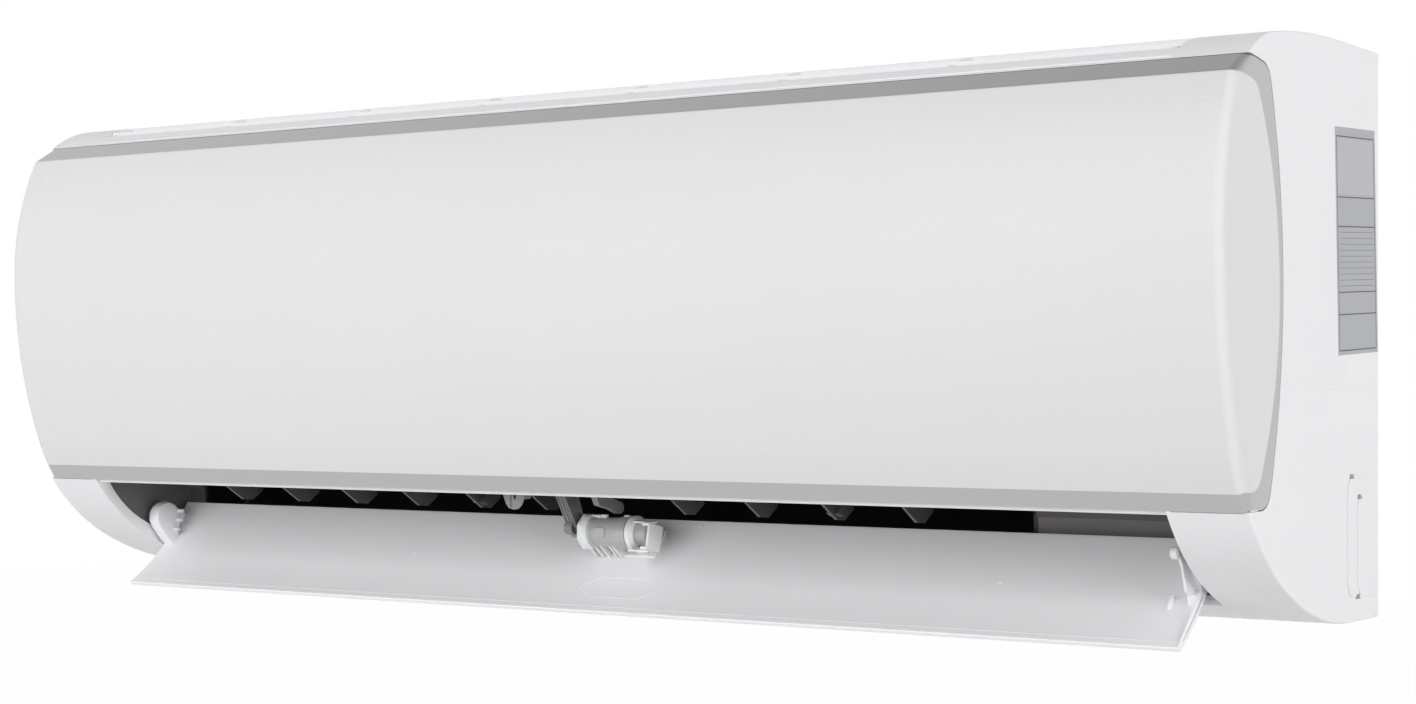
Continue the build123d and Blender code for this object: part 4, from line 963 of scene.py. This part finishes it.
@dataclass(frozen=True)
class MiddleClip:
    """The clear clip on the middle of the flap that snaps over the bracket's pin."""

    flap: FlapParts
    barrel_x: Point = (-11.5, 15.5)
    barrel_r: float = 9.0
    groove: float = 0.6
    bore_r: float = 3.2
    pin_r: float = 6.7
    cam_r: float = 10.8
    rim_r: float = 9.9
    end_plate: tuple[Point, ...] = (
        (-129.7, -100.8), (-116.5, -104.2), (-120.6, -118.2), (-132.5, -115.5)
    )
    straps: tuple[Span, ...] = (
        ((-127.0, -101.9), (-121.5, -100.8)),
        ((-131.0, -117.4), (-124.5, -116.2)),
    )
    lugs: tuple[Point, ...] = ((-129.0, -102.0), (-131.4, -115.0))
    # (distance from the drum's left end, degrees round it) of the two bumps on top
    bumps: tuple[Point, ...] = ((11.0, 96.0), (25.5, 84.0))
    gussets: tuple[float, ...] = (0.4, 4.6, 8.8, 15.0, 17.4)

    def build(self) -> None:
        """Makes the clip in place of its plain CAD shape."""
        self._drum()
        clip = Moulding()
        self._cam_and_flange(clip)
        self._cage(clip)
        self._feet(clip)
        low = self.barrel_x[0]
        for along, degrees in self.bumps:
            y, z = arc_point(self.flap.axis, self.barrel_r, math.radians(degrees))
            x = low + along
            clip.bar((x - 2.0, x + 2.0), (y - 1.2, z - 0.8), (y + 1.2, z + 1.0), 0.4)
        clip.piece("middle_clip", "flap", "clip_white", "clip_clear", "flap_clip")

    def _drum(self) -> None:
        """Makes the clear drum, the pin end beyond it and the pad on its front."""
        low, high = self.barrel_x
        axis, rim, bore = self.flap.axis, self.barrel_r, self.bore_r
        groove = rim - self.groove
        drum = Moulding()
        profile = [
            (low, bore), (low, rim - 0.4), (low + 0.4, rim), (low + 6.0, rim),
            (low + 6.5, groove), (high - 5.0, groove), (high - 4.5, rim), (high + 2.2, rim),
            (high + 2.2, bore),
        ]
        drum.turned(profile, axis)
        drum.turned(disc_profile((high + 5.0, high + 15.5), self.pin_r, bore, 0.5), axis)
        near_axis = self.flap.near_axis
        drum.bar((low + 9.0, low + 16.0), near_axis(-9.2, -2.5), near_axis(-5.0, 3.0), 0.5)
        drum.piece("clip_drum", "flap", "clip_clear", "clip_clear")

    def _cam_and_flange(self, clip: Moulding) -> None:
        """Adds the end cam with its rim and lip, and the flange.

        Args:
            clip: What they are added to.
        """
        low, high = self.barrel_x
        axis, rim = self.flap.axis, self.rim_r
        cam = [arc_point(axis, self.cam_r, math.radians(turn)) for turn in range(22, 382, 45)]
        clip.prism(cam, (low - 2.4, low + 0.4), 0.9)
        collar = disc_profile((low - 2.9, low + 3.8), rim, 7.0, 1.3)
        clip.turned(collar, axis, start=15.0, angle=250.0, steps=30)
        near_axis = self.flap.near_axis
        clip.bar((low + 0.2, low + 9.0), near_axis(-2.5, 8.0), near_axis(5.5, 9.7), 0.5)
        clip.turned(disc_profile((high + 2.0, high + 8.0), rim, self.bore_r, 1.8), axis)

    def _cage(self, clip: Moulding) -> None:
        """Adds the open cage: two straps, and the slanting end plate over the pin's end.

        Args:
            clip: What they are added to.
        """
        high = self.barrel_x[1]
        for foot, top in self.straps:
            clip.bar((high + 6.0, high + 20.0), foot, top, 0.4)
        clip.prism(list(self.end_plate), (high + 18.9, high + 20.6), 0.5)
        for y, z in self.lugs:
            clip.bar((high + 15.8, high + 20.0), (y - 1.7, z - 0.9), (y + 1.7, z + 0.9), 0.4)

    def _feet(self, clip: Moulding) -> None:
        """Adds the sole, the gussets and the block that join the drum to the flap.

        Args:
            clip: What they are added to.
        """
        low, high = self.barrel_x
        place, near_axis, root = self.flap.place, self.flap.near_axis, self.flap.root
        sole = [place(44.0, -0.5), place(44.6, 0.9), place(62.0, 0.9), place(63.0, -0.5)]
        clip.prism(sole, (low + 6.0, high + 13.0), 0.4)
        gusset = [
            place(42.5, root), near_axis(-6.6, -5.2), near_axis(0.0, -6.0),
            near_axis(7.0, -2.0), place(60.0, root),
        ]
        for along in self.gussets:
            clip.prism(gusset, (low + along, low + along + 1.2), 0.3)
        block = [
            place(46.0, root), near_axis(-4.8, -7.0), near_axis(6.0, -4.0), place(58.0, root)
        ]
        clip.prism(block, (high + 2.0, high + 8.0), 0.6)


@dataclass(frozen=True)
class MiddleBracket:
    """Rails and the curled foot of the bracket that holds the flap's middle."""

    front: Span = ((-146.6, -69.2), (-125.2, -105.3))
    back: Span = ((-133.6, -68.0), (-118.0, -104.0))
    arm_x: Point = (-22.5, -18.5)
    curl: Point = (-126.2, -105.8)
    rail: float = 0.9

    def build(self) -> None:
        """Makes the bracket's details over its CAD arms."""
        bracket = Moulding()
        low, high = self.arm_x
        for (top, foot), x, out in (
            (self.front, (low - 0.6, high + 1.8), -self.rail),
            (self.back, (low + 0.6, high + 1.2), self.rail),
        ):
            outline = [top, foot, (foot[0] + out, foot[1] - 0.4), (top[0] + out, top[1] - 0.4)]
            bracket.prism(outline, x, 0.2)
        top, foot = self.front
        web = [(top[0] - 2.0, top[1] - 0.8), (foot[0] - 2.0, foot[1] - 0.8), foot, top]
        for x in (low - 0.6, low + 1.7, high + 1.0):
            bracket.prism(web, (x, x + 0.8), 0.2)
        curl = disc_profile((low - 1.0, high + 0.2), 4.1, 2.9, 0.4)
        bracket.turned(curl, self.curl, start=70.0, angle=215.0, steps=22)
        bracket.piece("bracket_rails", "frame", "bracket_grey", "casing_grey")


@dataclass(frozen=True)
class Stickers:
    """Blank stickers on the right end: a ruled silver plate and two plain white ones."""

    face_x: float = 400.0
    plate_y: Point = (-61.0, -3.0)
    plate_z: Point = (-10.0, 102.4)
    lean_degrees: float = 2.6
    lift: float = 0.02
    root: float = 0.3
    inset: float = 2.2
    rule_half: float = 0.28
    # heights of the rules, from the plate's foot and from its top
    rules_up: Point = (31.0, 20.0)
    rules_down: tuple[float, ...] = (4.6, 34.5, 49.0)
    fine_start: float = 51.8
    fine_pitch: float = 2.95
    fine_count: int = 10
    fine_inset: float = 5.0
    fine_half: float = 0.1
    # (range along Y, range along Z, lean) of each white sticker
    whites: tuple[tuple[Point, Point, float], ...] = (
        ((-46.0, -2.4), (-26.5, -11.8), 1.0),
        ((-72.0, -2.4), (-46.5, -28.5), -0.8),
    )
    # pipe slots with painted shade behind them: centres (y, z), then the shade boxes' range along
    # X
    slots: tuple[Point, ...] = ((-39.0, -71.2), (-27.5, -81.6), (-29.0, -131.5))
    slot_x: Point = (396.6, 397.4)

    def _film(self, moulding: Moulding, y: Point, z: Point, level: float, lean: float) -> None:
        """Adds one flat film, turned a little as hand-applied stickers are.

        Args:
            moulding: What it is added to.
            y: Its range along Y.
            z: Its range along Z.
            level: Which layer it is, from 1.
            lean: Degrees of turn about the plate's middle.
        """
        middle = (sum(self.plate_y) / 2, sum(self.plate_z) / 2)
        cos, sin = math.cos(math.radians(-lean)), math.sin(math.radians(-lean))
        corners = []
        for corner_y, corner_z in ((y[0], z[0]), (y[1], z[0]), (y[1], z[1]), (y[0], z[1])):
            dy, dz = corner_y - middle[0], corner_z - middle[1]
            corners.append((middle[0] + dy * cos + dz * sin, middle[1] - dy * sin + dz * cos))
        moulding.prism(corners, (self.face_x - self.root, self.face_x + self.lift * level))

    def build(self) -> None:
        """Makes the plate with its rules, the white stickers and the painted shade behind the pipe
        slots.
        """
        (y0, y1), (z0, z1) = self.plate_y, self.plate_z
        for name, finish, y, z, level in (
            ("plate_film", "sticker_silver", self.plate_y, self.plate_z, 1.0),
            ("plate_field", "sticker_field", (y0 + 3.0, y1 - 3.0), (z1 - 33.0, z1 - 5.5), 1.6),
        ):
            film = Moulding()
            self._film(film, y, z, level, self.lean_degrees)
            film.piece(name, "frame", finish, "silver_band")
        self._rules()
        white = Moulding()
        for y, z, lean in self.whites:
            self._film(white, y, z, 1.0, lean)
        white.piece("white_stickers", "frame", "sticker_white", "casing_white")
        # painted shade: dark boxes inside the end wall behind the pipe slots, in place of the
        # shade in the casing
        shades = Moulding()
        for y, z in self.slots:
            shades.box(self.slot_x, (y - 5.0, y + 5.0), (z - 2.6, z + 2.6), 0.1)
        shades.piece("slot_shades", "frame", "slot_shade", "fan_black")

    def _rules(self) -> None:
        """Makes the plate's blank rules."""
        rules = Moulding()
        (y0, y1), (z0, z1) = self.plate_y, self.plate_z
        inset, half, fine = self.inset, self.rule_half, self.fine_half
        heights = [z0 + inset, *(z1 - down for down in self.rules_down)]
        bars = [
            ((y0 + inset, y1 - inset), (z - half, z + half))
            for z in (*heights, *(z0 + up for up in self.rules_up))
        ]
        top = z1 - self.rules_down[0]
        bars += [((y - half, y + half), (z0 + inset, top)) for y in (y0 + inset, y1 - inset)]
        for index in range(self.fine_count):
            z = z1 - self.fine_start - index * self.fine_pitch
            bars.append(((y0 + self.fine_inset, y1 - self.fine_inset), (z - fine, z + fine)))
        for y, z in bars:
            self._film(rules, y, z, 2.0, self.lean_degrees)
        rules.piece("plate_rules", "frame", "sticker_ink", "fan_black")


@dataclass(frozen=True)
class VaneTab:
    """The pale finger tab that stands across the front edge of one upright vane."""

    y: Point = (-144.6, -143.2)
    outline: tuple[Point, ...] = (
        (-56.2, -83.0), (-55.6, -88.2), (-53.4, -93.0), (-51.4, -95.0), (-48.2, -95.7),
        (-45.0, -95.2), (-42.6, -93.2), (-40.6, -88.6), (-40.0, -83.0),
    )
    ridge: tuple[Point, ...] = ((-51.3, -83.0), (-50.9, -94.6), (-49.8, -94.8), (-49.6, -83.0))

    def build(self) -> None:
        """Makes the tab on its vane."""
        tab = Moulding()
        front = self.y[0]
        tab.facade(list(self.outline), self.y, 0.5)
        tab.facade(list(self.ridge), (front - 1.1, front + 0.3), 0.3)
        tab.box((-48.0, -46.0), (front, -131.0), (-90.0, -84.0), 0.3)
        tab.piece("finger_tab", "vane_06", "tab_pale", "duct_dark")


@dataclass(frozen=True)
class Baffles:
    """A white rib inside the casing that keeps daylight out of the outlet, and a dark grey plate
    at the pipe bay that is painted shade.
    """

    chin: tuple[Point, Point, Point] = ((330.0, 374.0), (-103.2, -101.8), (-131.5, -128.2))
    bay: tuple[Point, Point, Point] = ((-397.3, -370.0), (-13.0, -11.5), (-120.0, -88.0))

    def build(self) -> None:
        """Makes the rib behind the chin and the dark grey plate of painted shade at the left of
        the pipe bay.
        """
        for name, finish, slot, extent in (
            ("chin_baffle", "casing_white", "casing_white", self.chin),
            # painted shade: the dark grey plate stands in for the shade where the pipe bay opens
            # to the wall
            ("bay_shade_plate", "duct_grey", "duct_dark", self.bay),
        ):
            rib = Moulding()
            rib.box(*extent, 0.2)
            rib.piece(name, "frame", finish, slot)


def main() -> None:
    """Builds the scene in order."""
    logging.basicConfig(level=logging.INFO, format="%(name)s: %(message)s")
    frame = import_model()
    Stage().build()
    CadDressing(frame).dress()
    flap = FlapParts()
    clip = MiddleClip(flap)
    for assembly in (Grille(), flap, clip, MiddleBracket(), Stickers(), VaneTab(), Baffles()):
        assembly.build()


if __name__ == "__main__":
    main()
